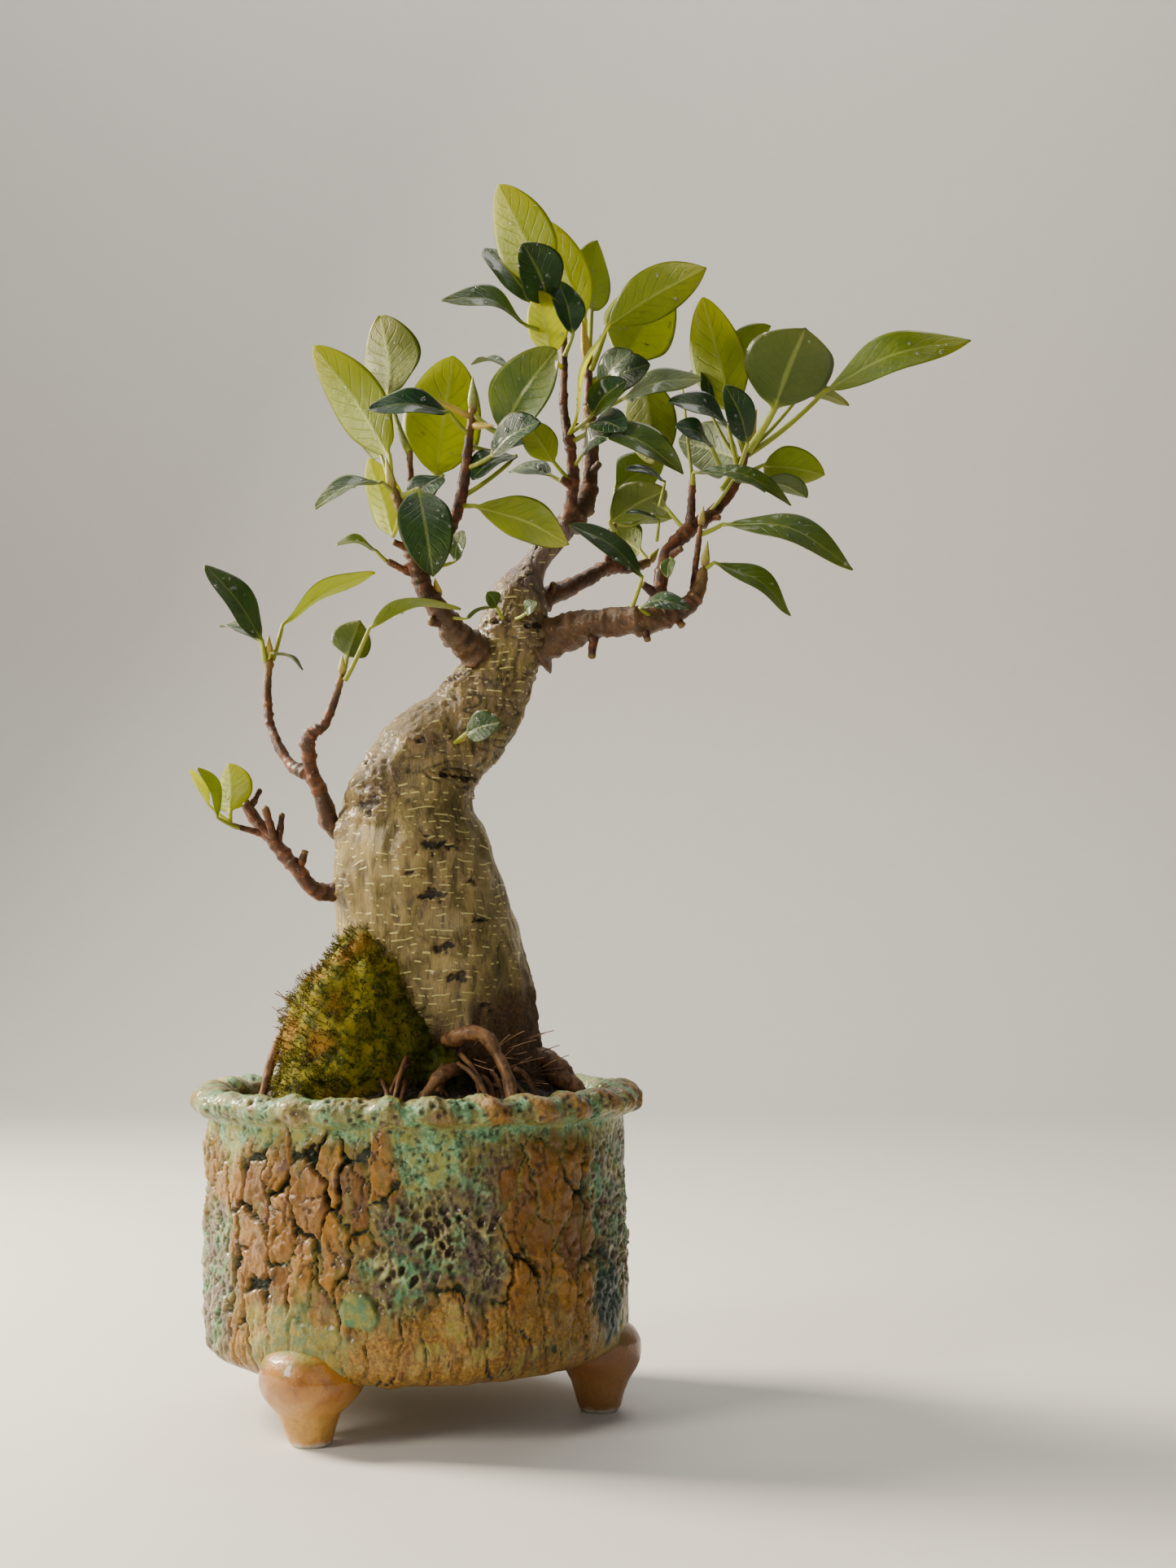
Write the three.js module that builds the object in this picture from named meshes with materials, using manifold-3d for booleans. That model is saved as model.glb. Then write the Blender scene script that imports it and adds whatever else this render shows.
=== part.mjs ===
import * as THREE from "three";
import { mergeVertices } from "three/addons/utils/BufferGeometryUtils.js";
import Module from "manifold-3d";

// A ficus bonsai in a hand-built glazed pot on three bulb feet, in millimetres with +Z up.
// The pot stands on Z 0 with its front to -Y. What grows is placed from the soil line,
// at X 0, Y 0 on the pot's axis. The last lines centre the whole plant on its own box.

// Pot
const potHeight = 100.5;
const rimRadius = 70;
const rimOverhang = 4; // past the wall
const rimHeight = 9;
const rimWidth = 10;
const scallops = 28;
const scallopDepth = 1.2;
const neckTaper = 1; // the wall leans in this far towards the rim
const wallThickness = 7;
const floorThickness = 8;
const floorRadius = 11; // the rounded corner between wall and underside
const footHeight = 17.5; // from the table to the underside
const footContactRadius = 6;
const footShoulder = 11; // how far a foot runs up the wall
const footInset = 8; // from the wall's outside to a foot's axis
const feet = [
  { angle: -117, bulbRadius: 13.8 },
  { angle: -7, bulbRadius: 11.5 },
  { angle: 141, bulbRadius: 12.5 },
];
const drainRadius = 8;

// Drain screen, soil and moss
const screenRadius = 14;
const screenThickness = 1.2;
const screenHole = 4;
const screenPitch = 5.5;
const soilDrop = 5; // from the rim's top to the soil line
const soilEdgeDrop = 2.5;
const soilMound = 8;
const soilMoundRadius = 34;
const mossRadii = [28, 31, 53];
const mossCentre = [-14, -10, 4];

// Tree
const treeHeight = 302; // from the soil line to the highest leaf's tip
const shownHeight = 302; // the height at which the tree's points below were chosen
const trunkGirth = 1; // times the trunk radii below
const rootStart = 31; // the trunk's radius where the roots leave it
const rootMargin = 3; // from the furthest root point to the pot's inside wall
const flareLobes = 5;
const flareDepth = 2.5;
const flareHeight = 30;
const petioleRadius = 0.75;
const leafThickness = 0.9;
const leafFold = 0.22; // how far the blade's edges rise, as a share of its half width

const clearance = 0.3; // between any two solids that touch
const lift = potHeight - soilDrop; // the soil line over the table
const wallRadius = rimRadius - rimOverhang;
const neckRadius = wallRadius - neckTaper;
const cavityRadius = wallRadius - wallThickness;
const footCircleRadius = wallRadius - footInset;
const floorTop = footHeight + floorThickness;
const treeScale = treeHeight / shownHeight;

// Each limb is one or more prongs, and each prong is a list of stations [x, y, z, radius].
const trunkRoute = [
  [9, 4, -16, 31],
  [8, 4, 6, 31],
  [5, 2, 38, 30],
  [1, 0, 58, 27.5],
  [-2, -3, 78, 24.5],
  [-2, -3, 94, 20],
  [3, -2, 107, 17.5],
  [14, 0, 118, 14.2],
  [22, 1, 129, 12.6],
  [29, 3, 148, 11.2],
  [32, 4, 161, 9],
  [36, 5, 171, 5],
  [42, 7, 180, 4.3],
  [49, 8, 188, 4],
];
const limbs = [
  {
    name: "branch_low_left",
    from: ["trunk"],
    prongs: [
      [
        [-16, -5, 66, 2.8],
        [-30, -13, 65, 2.6],
        [-36, -15, 71, 2.3],
        [-43, -14, 79, 2.2],
        [-51, -10, 88, 2],
        [-55, -8, 94, 1.5],
      ],
      [
        [-47, -12, 83, 1.1],
        [-58, -16, 86, 0.9],
      ],
      [
        [-53, -9, 91, 1.2],
        [-50, -6, 98, 0.9],
      ],
      [
        [-43, -14, 79, 1.1],
        [-42, -13, 90, 0.9],
      ],
    ],
  },
  {
    name: "branch_forked",
    from: ["trunk"],
    prongs: [
      [
        [-12, -3, 79, 3.4],
        [-26, -6, 85, 3.3],
        [-30, -9, 95, 2.6],
        [-34, -9, 102, 2.3],
        [-41, -3, 106, 1.8],
        [-48, 3, 118, 1.5],
        [-50, 6, 130, 1.4],
        [-50, 9, 142, 1.4],
      ],
      [
        [-33, -9, 101, 2.1],
        [-34, -14, 113, 2.2],
        [-28, -15, 119, 1.5],
        [-23, -18, 133, 1.2],
      ],
    ],
  },
  {
    name: "branch_upper_left",
    from: ["trunk"],
    prongs: [
      [
        [24, -1, 138, 5.4],
        [15, -10, 144, 5],
        [9, -15, 151, 3.8],
        [3, -19, 159, 3.1],
        [-1, -21, 170, 2.4],
        [-3, -23, 180, 1.8],
        [-7, -25, 191, 1.3],
      ],
      [
        [0, -20, 164, 1.4],
        [-9, -23, 168, 1],
      ],
      [
        [-1, -21, 171, 1.5],
        [-2, -15, 188, 1.3],
        [-3, -10, 206, 0.9],
      ],
    ],
  },
  {
    name: "branch_upright",
    from: ["branch_upper_left"],
    prongs: [
      [
        [1, -20, 163, 2],
        [8, -16, 174, 1.9],
        [13, -12, 188, 1.9],
        [15, -10, 201, 1.7],
        [17, -8, 222, 1],
      ],
    ],
  },
  {
    name: "branch_right",
    from: ["trunk"],
    prongs: [
      [
        [28, 3, 142, 7],
        [40, 0, 146, 6.8],
        [52, -5, 150, 5.2],
        [61, -8, 151, 4.3],
        [71, -10, 151, 4.6],
        [80, -10, 153, 3.5],
        [88, -9, 159, 2.6],
        [91, -8, 169, 1.4],
      ],
      [
        [87, -9, 159, 1.1],
        [90, -4, 183, 0.8],
      ],
    ],
  },
  {
    name: "branch_riser",
    from: ["branch_right"],
    prongs: [
      [
        [74, -10, 150, 2.8],
        [77, -8, 163, 2.2],
        [79, -4, 173, 2.2],
        [86, 2, 182, 2.5],
        [94, 8, 189, 2],
        [102, 14, 199, 1.7],
        [107, 18, 213, 1.2],
      ],
      [
        [87, 3, 183, 1.8],
        [88, 5, 201, 0.9],
      ],
    ],
  },
  {
    name: "branch_back_right",
    from: ["trunk"],
    prongs: [
      [
        [30, 3, 157, 3.6],
        [41, 10, 162, 3.2],
        [53, 18, 169, 2.7],
        [60, 24, 174, 2.3],
        [68, 30, 175, 1.8],
        [75, 35, 178, 1.3],
      ],
      [
        [60, 24, 174, 1.6],
        [63, 26, 190, 1],
      ],
    ],
  },
  {
    name: "stem_back",
    from: ["trunk"],
    prongs: [
      [
        [48, 8, 185, 3.4],
        [53, 12, 194, 3.4],
        [54, 15, 202, 2.8],
        [55, 15, 214, 2.5],
        [54, 12, 228, 1.8],
      ],
      [
        [54, 12, 226, 1.6],
        [54, 13, 241, 1.2],
      ],
    ],
  },
  {
    name: "stem_leader",
    from: ["trunk", "stem_back"],
    prongs: [
      [
        [47, 7, 185, 2.3],
        [49, 2, 198, 2],
        [48, 0, 211, 1.8],
        [46, 2, 222, 1.4],
        [46, 4, 238, 1.2],
        [46, 5, 252, 0.9],
      ],
    ],
  },
];

// A root's stations are [degrees, share, z, radius] about the pot's axis: share runs from 0 at
// the trunk's face to 1 by the pot's wall.
const roots = [
  {
    name: "root_arched",
    from: ["trunk"],
    prongs: [
      [
        [-63, -0.4, 18, 2.4],
        [-67, 0.18, 21, 2],
        [-59, 0.44, 22, 1.8],
        [-55, 0.62, 16, 1.6],
        [-54, 0.84, 7, 1.5],
        [-53, 1, -5, 1.3],
      ],
    ],
  },
  {
    name: "root_front",
    from: ["trunk", "root_arched"],
    prongs: [
      [
        [-53, -0.24, 10, 2.2],
        [-70, 0.25, 11, 1.8],
        [-79, 0.43, 8, 1.5],
        [-89, 0.6, -5, 1.2],
      ],
    ],
  },
  {
    name: "root_left",
    from: ["trunk"],
    prongs: [
      [
        [-169, -0.83, 24, 1.6],
        [-167, 0.16, 29, 1.4],
        [-166, 0.53, 18, 1.3],
        [-165, 0.79, -5, 1.1],
      ],
    ],
  },
  {
    name: "root_right",
    from: ["trunk"],
    prongs: [
      [
        [4, -0.12, 16, 4.5],
        [1, 0.44, 10, 3.4],
        [-1, 0.76, 2, 2.4],
        [-2, 0.92, -6, 1.6],
      ],
    ],
  },
  {
    name: "root_back",
    from: ["trunk"],
    prongs: [
      [
        [80, -0.27, 14, 4.2],
        [90, 0.28, 9, 3],
        [94, 0.6, 2, 2.2],
        [96, 0.81, -6, 1.6],
      ],
    ],
  },
];

// Each leaf: its stem, where its petiole leaves the stem, the blade's base and tip, the blade's
// width, the tilt of its upper face (0 up, 90 to the front, -90 to the back) and its arch.
const leaves = [
  ["leaf_low_round", "branch_low_left", [-58, -16, 86], [-58, -15, 90], [-60, -7, 106], 14, -75, 1],
  ["leaf_low_narrow", "branch_low_left", [-55, -15, 85], [-61, -21, 88], [-66, -28, 103], 8, 20, 2],
  ["leaf_fork_dark", "branch_forked", [-51, 8, 140], [-52, 7, 147], [-69, -4, 170], 14, 45, 2],
  ["leaf_fork_bright", "branch_forked", [-49, 10, 141], [-46, 11, 153], [-17, 22, 172], 13, -12, 3],
  ["leaf_knob_round", "branch_forked", [-23, -17, 132], [-22, -14, 139], [-19, -5, 152], 13, -70, 1],
  ["leaf_knob_long", "branch_forked", [-22, -19, 131], [-14, -23, 147], [15, -35, 151], 12, -10, 4],
  ["leaf_left_tall", "branch_upper_left", [-7, -25, 190], [-9, -15, 203], [-35, -2, 242], 19, -65, 3],
  ["leaf_left_rear", "branch_upper_left", [-3, -10, 205], [-11, 2, 226], [-15, 15, 257], 23, -70, 3],
  ["leaf_left_broad", "branch_upper_left", [-2, -15, 188], [5, -6, 198], [10, 3, 240], 26, -80, 3],
  ["leaf_left_dark", "branch_upright", [16, -9, 211], [10, -15, 217], [-15, -22, 216], 12, 35, 3],
  ["leaf_upright_wide", "branch_upright", [17, -8, 218], [26, -10, 211], [44, -20, 236], 21, 75, 3],
  ["leaf_upright_small", "branch_upright", [15, -10, 208], [25, -3, 207], [38, 7, 217], 9, 15, 2],
  ["leaf_leader_round", "stem_leader", [49, 2, 198], [43, -1, 204], [34, -9, 215], 11, -70, 1],
  ["leaf_cross", "branch_upright", [13, -12, 188], [18, -15, 187], [48, -24, 173], 15, -55, 4],
  ["leaf_left_glow", "branch_upper_left", [-4, -24, 184], [-7, -21, 176], [-16, -11, 203], 12, -75, 2],
  ["leaf_left_edge", "branch_upper_left", [-6, -25, 189], [-10, -27, 192], [-29, -40, 181], 10, 20, 3],
  ["leaf_left_front", "branch_upper_left", [-5, -24, 188], [1, -27, 190], [7, -41, 160], 17, 80, 3],
  ["leaf_apex", "stem_leader", [46, 5, 251], [40, 6, 264], [24, 16, 302], 20, -75, 2],
  ["leaf_apex_dark", "stem_leader", [46, 5, 250], [41, 0, 257], [34, -16, 270], 17, 62, 2],
  ["leaf_apex_rear", "stem_leader", [46, 5, 249], [36, 13, 260], [19, 26, 281], 12, 55, 2],
  ["leaf_apex_flat", "stem_leader", [46, 5, 248], [34, -1, 249], [7, -12, 254], 13, 42, 5],
  ["leaf_yellow", "stem_back", [53, 12, 240], [53, 10, 254], [38, 21, 292], 16, -70, 2],
  ["leaf_mottled", "stem_back", [54, 14, 240], [55, 21, 260], [57, 34, 289], 16, -65, 2],
  ["leaf_crown_right", "stem_back", [55, 12, 238], [60, 4, 250], [92, -8, 266], 17, -60, 4],
  ["leaf_crown_round", "stem_back", [55, 13, 234], [66, 19, 243], [80, 33, 276], 25, -78, 2],
  ["leaf_blade_edge", "stem_leader", [47, 0, 212], [50, -5, 217], [61, -14, 246], 10, 5, 3],
  ["leaf_olive_flat", "stem_back", [54, 14, 224], [65, 12, 228], [91, 2, 232], 13, 28, 3],
  ["leaf_hanging", "stem_back", [54, 14, 222], [72, 23, 241], [76, 14, 207], 18, -80, 3],
  ["leaf_mid_flat", "stem_leader", [48, 0, 211], [54, -5, 213], [84, -16, 197], 14, 35, 5],
  ["leaf_right_tall", "branch_riser", [106, 17, 211], [102, 19, 225], [93, 31, 268], 19, -80, 2],
  ["leaf_right_round", "branch_riser", [107, 17, 212], [115, 10, 224], [123, -16, 244], 27, 70, 2],
  ["leaf_right_long", "branch_riser", [107, 19, 211], [133, 21, 233], [180, 9, 247], 17, 62, 6],
  ["leaf_right_dark", "branch_riser", [104, 16, 204], [100, 10, 219], [80, 0, 224], 10, 15, 3],
  ["leaf_right_olive", "branch_riser", [104, 15, 204], [112, 21, 208], [134, 31, 207], 14, -55, 2],
  ["leaf_right_arched", "branch_riser", [88, 4, 198], [88, 0, 201], [118, -16, 187], 11, 20, 5],
  ["leaf_right_droop", "branch_right", [90, -4, 180], [97, -5, 183], [137, -19, 166], 13, 25, 7],
  ["leaf_right_low", "branch_right", [91, -8, 168], [94, -9, 170], [119, -2, 154], 10, 15, 4],
  ["leaf_inner_upper", "branch_back_right", [63, 26, 188], [63, 23, 201], [80, 38, 213], 15, -60, 2],
  ["leaf_inner_wide", "branch_back_right", [62.4, 25.5, 187], [61, 16, 188], [79, 4, 196], 15, -55, 2],
  ["leaf_inner_front", "branch_right", [66, -9, 151], [71, -16, 164], [48, -24, 179], 13, 45, 3],
];

const colours = {
  glaze: 0x9a6a3c,
  screen: 0x2a2c2a,
  soil: 0x3a2a20,
  moss: 0x6f7423,
  bark: 0x8d8468,
  twig: 0x7b4a35,
  root: 0x74503c,
  leaf: 0x7fa032,
};

const wasm = await Module();
wasm.setup();

function solidFrom(geometry) {
  const bare = geometry.clone();
  bare.deleteAttribute("normal");
  bare.deleteAttribute("uv");
  const merged = mergeVertices(bare, 1e-3);
  const corners = merged.index.array;
  const kept = [];
  for (let i = 0; i < corners.length; i += 3) {
    const [a, b, c] = corners.slice(i, i + 3);
    if (a !== b && b !== c && c !== a) kept.push(a, b, c);
  }
  return new wasm.Manifold(
    new wasm.Mesh({
      numProp: 3,
      vertProperties: merged.attributes.position.array,
      triVerts: new Uint32Array(kept),
    }),
  );
}

function geometryFrom(solid) {
  const mesh = solid.getMesh();
  const geometry = new THREE.BufferGeometry();
  geometry.setAttribute("position", new THREE.BufferAttribute(mesh.vertProperties, 3));
  geometry.setIndex(new THREE.BufferAttribute(mesh.triVerts, 1));
  const flat = geometry.toNonIndexed();
  flat.computeVertexNormals();
  return flat;
}

function addMesh(group, name, solid, colour, roughness) {
  const material = new THREE.MeshStandardMaterial({ color: colour, roughness, metalness: 0 });
  const mesh = new THREE.Mesh(geometryFrom(solid), material);
  mesh.name = name;
  group.add(mesh);
}

// A profile in the X-Z half plane turned about the Z axis.
function turned(path, sides, curvePoints) {
  const geometry = new THREE.LatheGeometry(path.getPoints(curvePoints), sides);
  return geometry.rotateX(Math.PI / 2);
}

// A closed rod whose vertices are put where place(t, x, z) says: t runs along it from 0 to 1,
// and x and z lie on the unit circle, or at its centre on the two ends.
function rod(sides, segments, place) {
  const geometry = new THREE.CylinderGeometry(1, 1, 1, sides, segments);
  const position = geometry.attributes.position;
  for (let i = 0; i < position.count; i += 1) {
    const t = position.getY(i) + 0.5;
    const point = place(t, position.getX(i), position.getZ(i));
    position.setXYZ(i, point.x, point.y, point.z);
  }
  return solidFrom(geometry);
}

function treePoint([x, y, z]) {
  return new THREE.Vector3(x, y, z).multiplyScalar(treeScale);
}

function rootPoint([degrees, share, z]) {
  const start = rootStart * treeScale * trunkGirth;
  const reach = THREE.MathUtils.lerp(start, cavityRadius - rootMargin, share);
  const turn = THREE.MathUtils.degToRad(degrees);
  return new THREE.Vector3(reach * Math.cos(turn), reach * Math.sin(turn), z * treeScale);
}

function radiusAlong(stations, t) {
  const place = t * (stations.length - 1);
  const index = Math.min(Math.floor(place), stations.length - 2);
  return THREE.MathUtils.lerp(stations[index][3], stations[index + 1][3], place - index);
}

// One tapered prong through its points, made larger all over by grow.
function prong(stations, points, sides, girth, ridge, grow) {
  const segments = (stations.length - 1) * 2;
  const curve = new THREE.CatmullRomCurve3(points, false, "centripetal");
  curve.getUtoTmapping = (u) => u; // even steps between stations
  const frames = curve.computeFrenetFrames(segments, false);
  return rod(sides, segments, (t, x, z) => {
    const index = Math.round(t * segments);
    const angle = Math.atan2(z, x);
    const point = curve.getPoint(t);
    const radius = radiusAlong(stations, t) * treeScale * girth + ridge(point, angle) + grow;
    const end = index === 0 ? -grow : index === segments ? grow : 0;
    point.addScaledVector(frames.binormals[index], x * radius);
    point.addScaledVector(frames.normals[index], z * radius);
    return point.addScaledVector(frames.tangents[index], end);
  });
}

function limbSolid(limb, place, grow) {
  const plain = () => 0;
  const solids = limb.prongs.map((stations, i) =>
    prong(stations, stations.map(place), i ? 6 : 8, 1, plain, grow),
  );
  return solids.reduce((whole, next) => whole.add(next));
}

// The trunk swells into root lobes near the soil.
function flare(point, angle) {
  const share = THREE.MathUtils.clamp(1 - point.z / (flareHeight * treeScale), 0, 1);
  return flareDepth * share * Math.cos(flareLobes * angle);
}

function trunkSolid(grow) {
  return prong(trunkRoute, trunkRoute.map(treePoint), 16, trunkGirth, flare, grow);
}

// A blade on its petiole: a flat four-sided rod whose width follows the leaf's outline.
function leafSolid(start, base, tip, width, tilt, arch) {
  const chord = tip.clone().sub(base);
  const along = chord.clone().normalize();
  const front = new THREE.Vector3(0, -1, 0);
  front.addScaledVector(along, -front.dot(along)).normalize();
  const over = new THREE.Vector3().crossVectors(along, front);
  over.multiplyScalar(over.z + 0.01 < 0 ? -1 : 1);
  const lean = THREE.MathUtils.degToRad(tilt);
  const upper = front.multiplyScalar(Math.sin(lean)).addScaledVector(over, Math.cos(lean));
  const across = new THREE.Vector3().crossVectors(along, upper);
  const knee = start.clone().lerp(base, 0.5);
  knee.z -= 0.08 * start.distanceTo(base);
  const middle = base.clone().addScaledVector(chord, 0.5).addScaledVector(upper, arch);
  const petiole = new THREE.QuadraticBezierCurve3(start, knee, base);
  const blade = new THREE.CatmullRomCurve3([base, middle, tip]);
  const petioleSteps = 2;
  const bladeSteps = 5;
  const steps = petioleSteps + bladeSteps;
  return rod(4, steps, (t, x, z) => {
    const step = Math.round(t * steps);
    const u = Math.max(0, (step - petioleSteps) / bladeSteps);
    const onBlade = step >= petioleSteps;
    const point = onBlade ? blade.getPoint(u) : petiole.getPoint(step / petioleSteps);
    const tangent = onBlade ? blade.getTangent(u) : petiole.getTangent(step / petioleSteps);
    const bend = new THREE.Quaternion().setFromUnitVectors(along, tangent);
    const side = across.clone().applyQuaternion(bend);
    const through = new THREE.Vector3().crossVectors(side, tangent).normalize();
    const outline = 0.5 * width * Math.sin(Math.PI * u ** 0.92) ** 0.8;
    const half = Math.max(outline, petioleRadius * (1 - 0.6 * u));
    const thick = THREE.MathUtils.lerp(petioleRadius, 0.5 * leafThickness, Math.min(1, 3 * u));
    point.addScaledVector(side, x * half);
    point.addScaledVector(through, z * thick + Math.abs(x) * leafFold * outline);
    return point;
  });
}

// The pot: a turned body with a scalloped rim and three feet, hollowed from the top and drained.
function potOutside() {
  const path = new THREE.Path();
  path.moveTo(0, footHeight);
  path.lineTo(wallRadius - floorRadius, footHeight);
  path.quadraticCurveTo(wallRadius, footHeight, wallRadius, footHeight + floorRadius);
  path.lineTo(neckRadius, potHeight - rimHeight);
  path.bezierCurveTo(
    rimRadius + 1, potHeight - rimHeight,
    rimRadius + 1, potHeight,
    rimRadius - 0.5 * rimWidth, potHeight,
  );
  path.lineTo(0, potHeight);
  const geometry = turned(path, scallops * 2, 5);
  const position = geometry.attributes.position;
  for (let i = 0; i < position.count; i += 1) {
    const x = position.getX(i);
    const y = position.getY(i);
    const radius = Math.hypot(x, y);
    const onRim = position.getZ(i) > potHeight - rimHeight + 0.1 && radius > neckRadius;
    const wave = onRim ? scallopDepth * Math.cos(scallops * Math.atan2(y, x)) : 0;
    const factor = radius > 0 ? (radius + wave) / radius : 1;
    position.setX(i, x * factor);
    position.setY(i, y * factor);
  }
  return solidFrom(geometry);
}

function footSolid({ angle, bulbRadius }) {
  const path = new THREE.Path();
  path.moveTo(0, 0);
  path.lineTo(footContactRadius, 0);
  path.bezierCurveTo(
    footContactRadius + 2, 0.35 * footHeight,
    bulbRadius, 0.5 * footHeight,
    bulbRadius, footHeight,
  );
  path.quadraticCurveTo(bulbRadius, footHeight + footShoulder, 0, footHeight + footShoulder);
  const turn = THREE.MathUtils.degToRad(angle);
  const geometry = turned(path, 16, 4);
  geometry.translate(footCircleRadius * Math.cos(turn), footCircleRadius * Math.sin(turn), 0);
  return solidFrom(geometry);
}

function potCavity() {
  const path = new THREE.Path();
  path.moveTo(0, floorTop);
  path.lineTo(cavityRadius, floorTop);
  path.lineTo(cavityRadius, potHeight - rimHeight);
  path.lineTo(rimRadius - rimWidth, potHeight + 1);
  path.lineTo(0, potHeight + 1);
  return solidFrom(turned(path, 40, 1));
}

function standingCylinder(radius, bottom, top, sides) {
  const geometry = new THREE.CylinderGeometry(radius, radius, top - bottom, sides);
  geometry.rotateX(Math.PI / 2);
  return geometry.translate(0, 0, 0.5 * (bottom + top));
}

function potSolid() {
  const drain = solidFrom(standingCylinder(drainRadius, footHeight - 1, floorTop + 1, 24));
  const outside = feet.map(footSolid).reduce((whole, foot) => whole.add(foot), potOutside());
  return outside.subtract(potCavity()).subtract(drain);
}

// The plastic screen that lies over the drain hole.
function screenSolid() {
  let screen = solidFrom(standingCylinder(screenRadius, 0, screenThickness, 32));
  const steps = [-1, 0, 1];
  for (const column of steps) {
    for (const row of steps) {
      const hole = new THREE.BoxGeometry(screenHole, screenHole, 3 * screenThickness);
      hole.translate(column * screenPitch, row * screenPitch, 0);
      screen = screen.subtract(solidFrom(hole));
    }
  }
  return screen;
}

// The soil fills the pot and heaps up around the trunk; grow raises its surface for cutting.
function soilSolid(grow) {
  const bottom = floorTop + screenThickness + 2 * clearance - lift;
  const path = new THREE.Path();
  path.moveTo(0, bottom);
  path.lineTo(cavityRadius - clearance, bottom);
  path.lineTo(cavityRadius - clearance, grow - soilEdgeDrop);
  path.quadraticCurveTo(
    0.5 * (cavityRadius + soilMoundRadius), grow,
    soilMoundRadius, grow + 0.85 * soilMound,
  );
  path.lineTo(0, grow + soilMound);
  return solidFrom(turned(path, 36, 3));
}

// A lumpy cushion that climbs the trunk's front left side.
function mossSolid() {
  const geometry = new THREE.SphereGeometry(1, 20, 14);
  const position = geometry.attributes.position;
  for (let i = 0; i < position.count; i += 1) {
    const point = new THREE.Vector3().fromBufferAttribute(position, i);
    const lump = 1 + 0.05 * Math.sin(7 * point.x + 2) * Math.cos(6 * point.z + 4 * point.y);
    point.multiplyScalar(lump).multiply(treePoint(mossRadii)).add(treePoint(mossCentre));
    position.setXYZ(i, point.x, point.y, point.z);
  }
  return solidFrom(geometry);
}

const planting = new THREE.Group();
planting.position.z = lift;

const grown = { trunk: trunkSolid(clearance) };
addMesh(planting, "trunk", trunkSolid(0), colours.bark, 0.75);
for (const limb of [...limbs, ...roots]) {
  const isRoot = roots.includes(limb);
  const place = isRoot ? rootPoint : treePoint;
  const whole = limbSolid(limb, place, 0);
  const cut = limb.from.reduce((rest, name) => rest.subtract(grown[name]), whole);
  grown[limb.name] = limbSolid(limb, place, clearance);
  addMesh(planting, limb.name, cut, isRoot ? colours.root : colours.twig, 0.8);
}
for (const [name, stem, start, base, tip, width, tilt, arch] of leaves) {
  const ends = [start, base, tip].map(treePoint);
  const leaf = leafSolid(...ends, width * treeScale, tilt, arch * treeScale);
  addMesh(planting, name, leaf.subtract(grown[stem]), colours.leaf, 0.35);
}

const grownRoots = roots.map((root) => grown[root.name]);
const buried = grownRoots.reduce((whole, root) => whole.add(root), grown.trunk);
const mossCut = mossSolid().subtract(soilSolid(clearance)).subtract(buried);
addMesh(planting, "moss", mossCut, colours.moss, 0.95);
addMesh(planting, "soil", soilSolid(0).subtract(buried), colours.soil, 0.95);

const pot = new THREE.Group();
addMesh(pot, "pot", potSolid(), colours.glaze, 0.35);
const screen = new THREE.Group();
screen.position.z = floorTop + clearance;
addMesh(screen, "drain_screen", screenSolid(), colours.screen, 0.6);
pot.add(screen);

const bonsai = new THREE.Group();
bonsai.add(pot, planting);
bonsai.updateMatrixWorld(true);
const centre = new THREE.Box3().setFromObject(bonsai, true).getCenter(new THREE.Vector3());
bonsai.position.set(-centre.x, -centre.y, 0);

export default bonsai;
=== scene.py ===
# A potted ficus bonsai: glazed pot, soil, moss, trunk, branches and wet leaves,
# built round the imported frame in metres.
import math
import random

import bmesh
import bpy
import numpy as np
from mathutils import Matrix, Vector, noise


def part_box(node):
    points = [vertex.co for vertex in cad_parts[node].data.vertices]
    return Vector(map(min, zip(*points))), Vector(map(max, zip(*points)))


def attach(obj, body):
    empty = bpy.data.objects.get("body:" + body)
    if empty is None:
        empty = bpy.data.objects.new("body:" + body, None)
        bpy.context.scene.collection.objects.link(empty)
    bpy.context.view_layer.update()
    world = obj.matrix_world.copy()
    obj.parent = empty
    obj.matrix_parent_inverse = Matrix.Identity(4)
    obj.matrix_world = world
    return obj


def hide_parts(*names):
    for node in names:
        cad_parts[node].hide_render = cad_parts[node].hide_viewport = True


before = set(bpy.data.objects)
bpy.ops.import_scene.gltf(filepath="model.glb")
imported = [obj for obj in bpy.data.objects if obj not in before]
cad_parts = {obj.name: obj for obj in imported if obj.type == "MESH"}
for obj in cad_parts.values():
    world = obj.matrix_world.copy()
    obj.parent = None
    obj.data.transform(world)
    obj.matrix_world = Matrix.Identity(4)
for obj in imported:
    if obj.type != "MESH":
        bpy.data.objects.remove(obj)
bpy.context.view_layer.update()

mm = 0.001
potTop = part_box("pot")[1]
drainLow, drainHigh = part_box("drain_screen")
axisX = 0.5 * (drainLow.x + drainHigh.x)  # the pot's own axis
axisY = 0.5 * (drainLow.y + drainHigh.y)
rimTop = potTop.z
soilDrop = 5 * mm
soilLine = rimTop - soilDrop  # everything that grows is placed from here


def place(x, y, z):
    # millimetres from the pot's axis and the soil line, to the frame
    return Vector((axisX + x * mm, axisY + y * mm, soilLine + z * mm))


def smooth(low, high, value):
    share = min(1.0, max(0.0, (value - low) / (high - low)))
    return share * share * (3 - 2 * share)


def lerp(a, b, share):
    return a + (b - a) * share


def wander(x, y, z, seed=0.0):
    return noise.noise(Vector((x + seed, y - 2 * seed, z + 3 * seed)))


def rough(x, y, z, octaves=4):
    return noise.fractal(Vector((x, y, z)), 0.8, 2.1, octaves)


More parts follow.
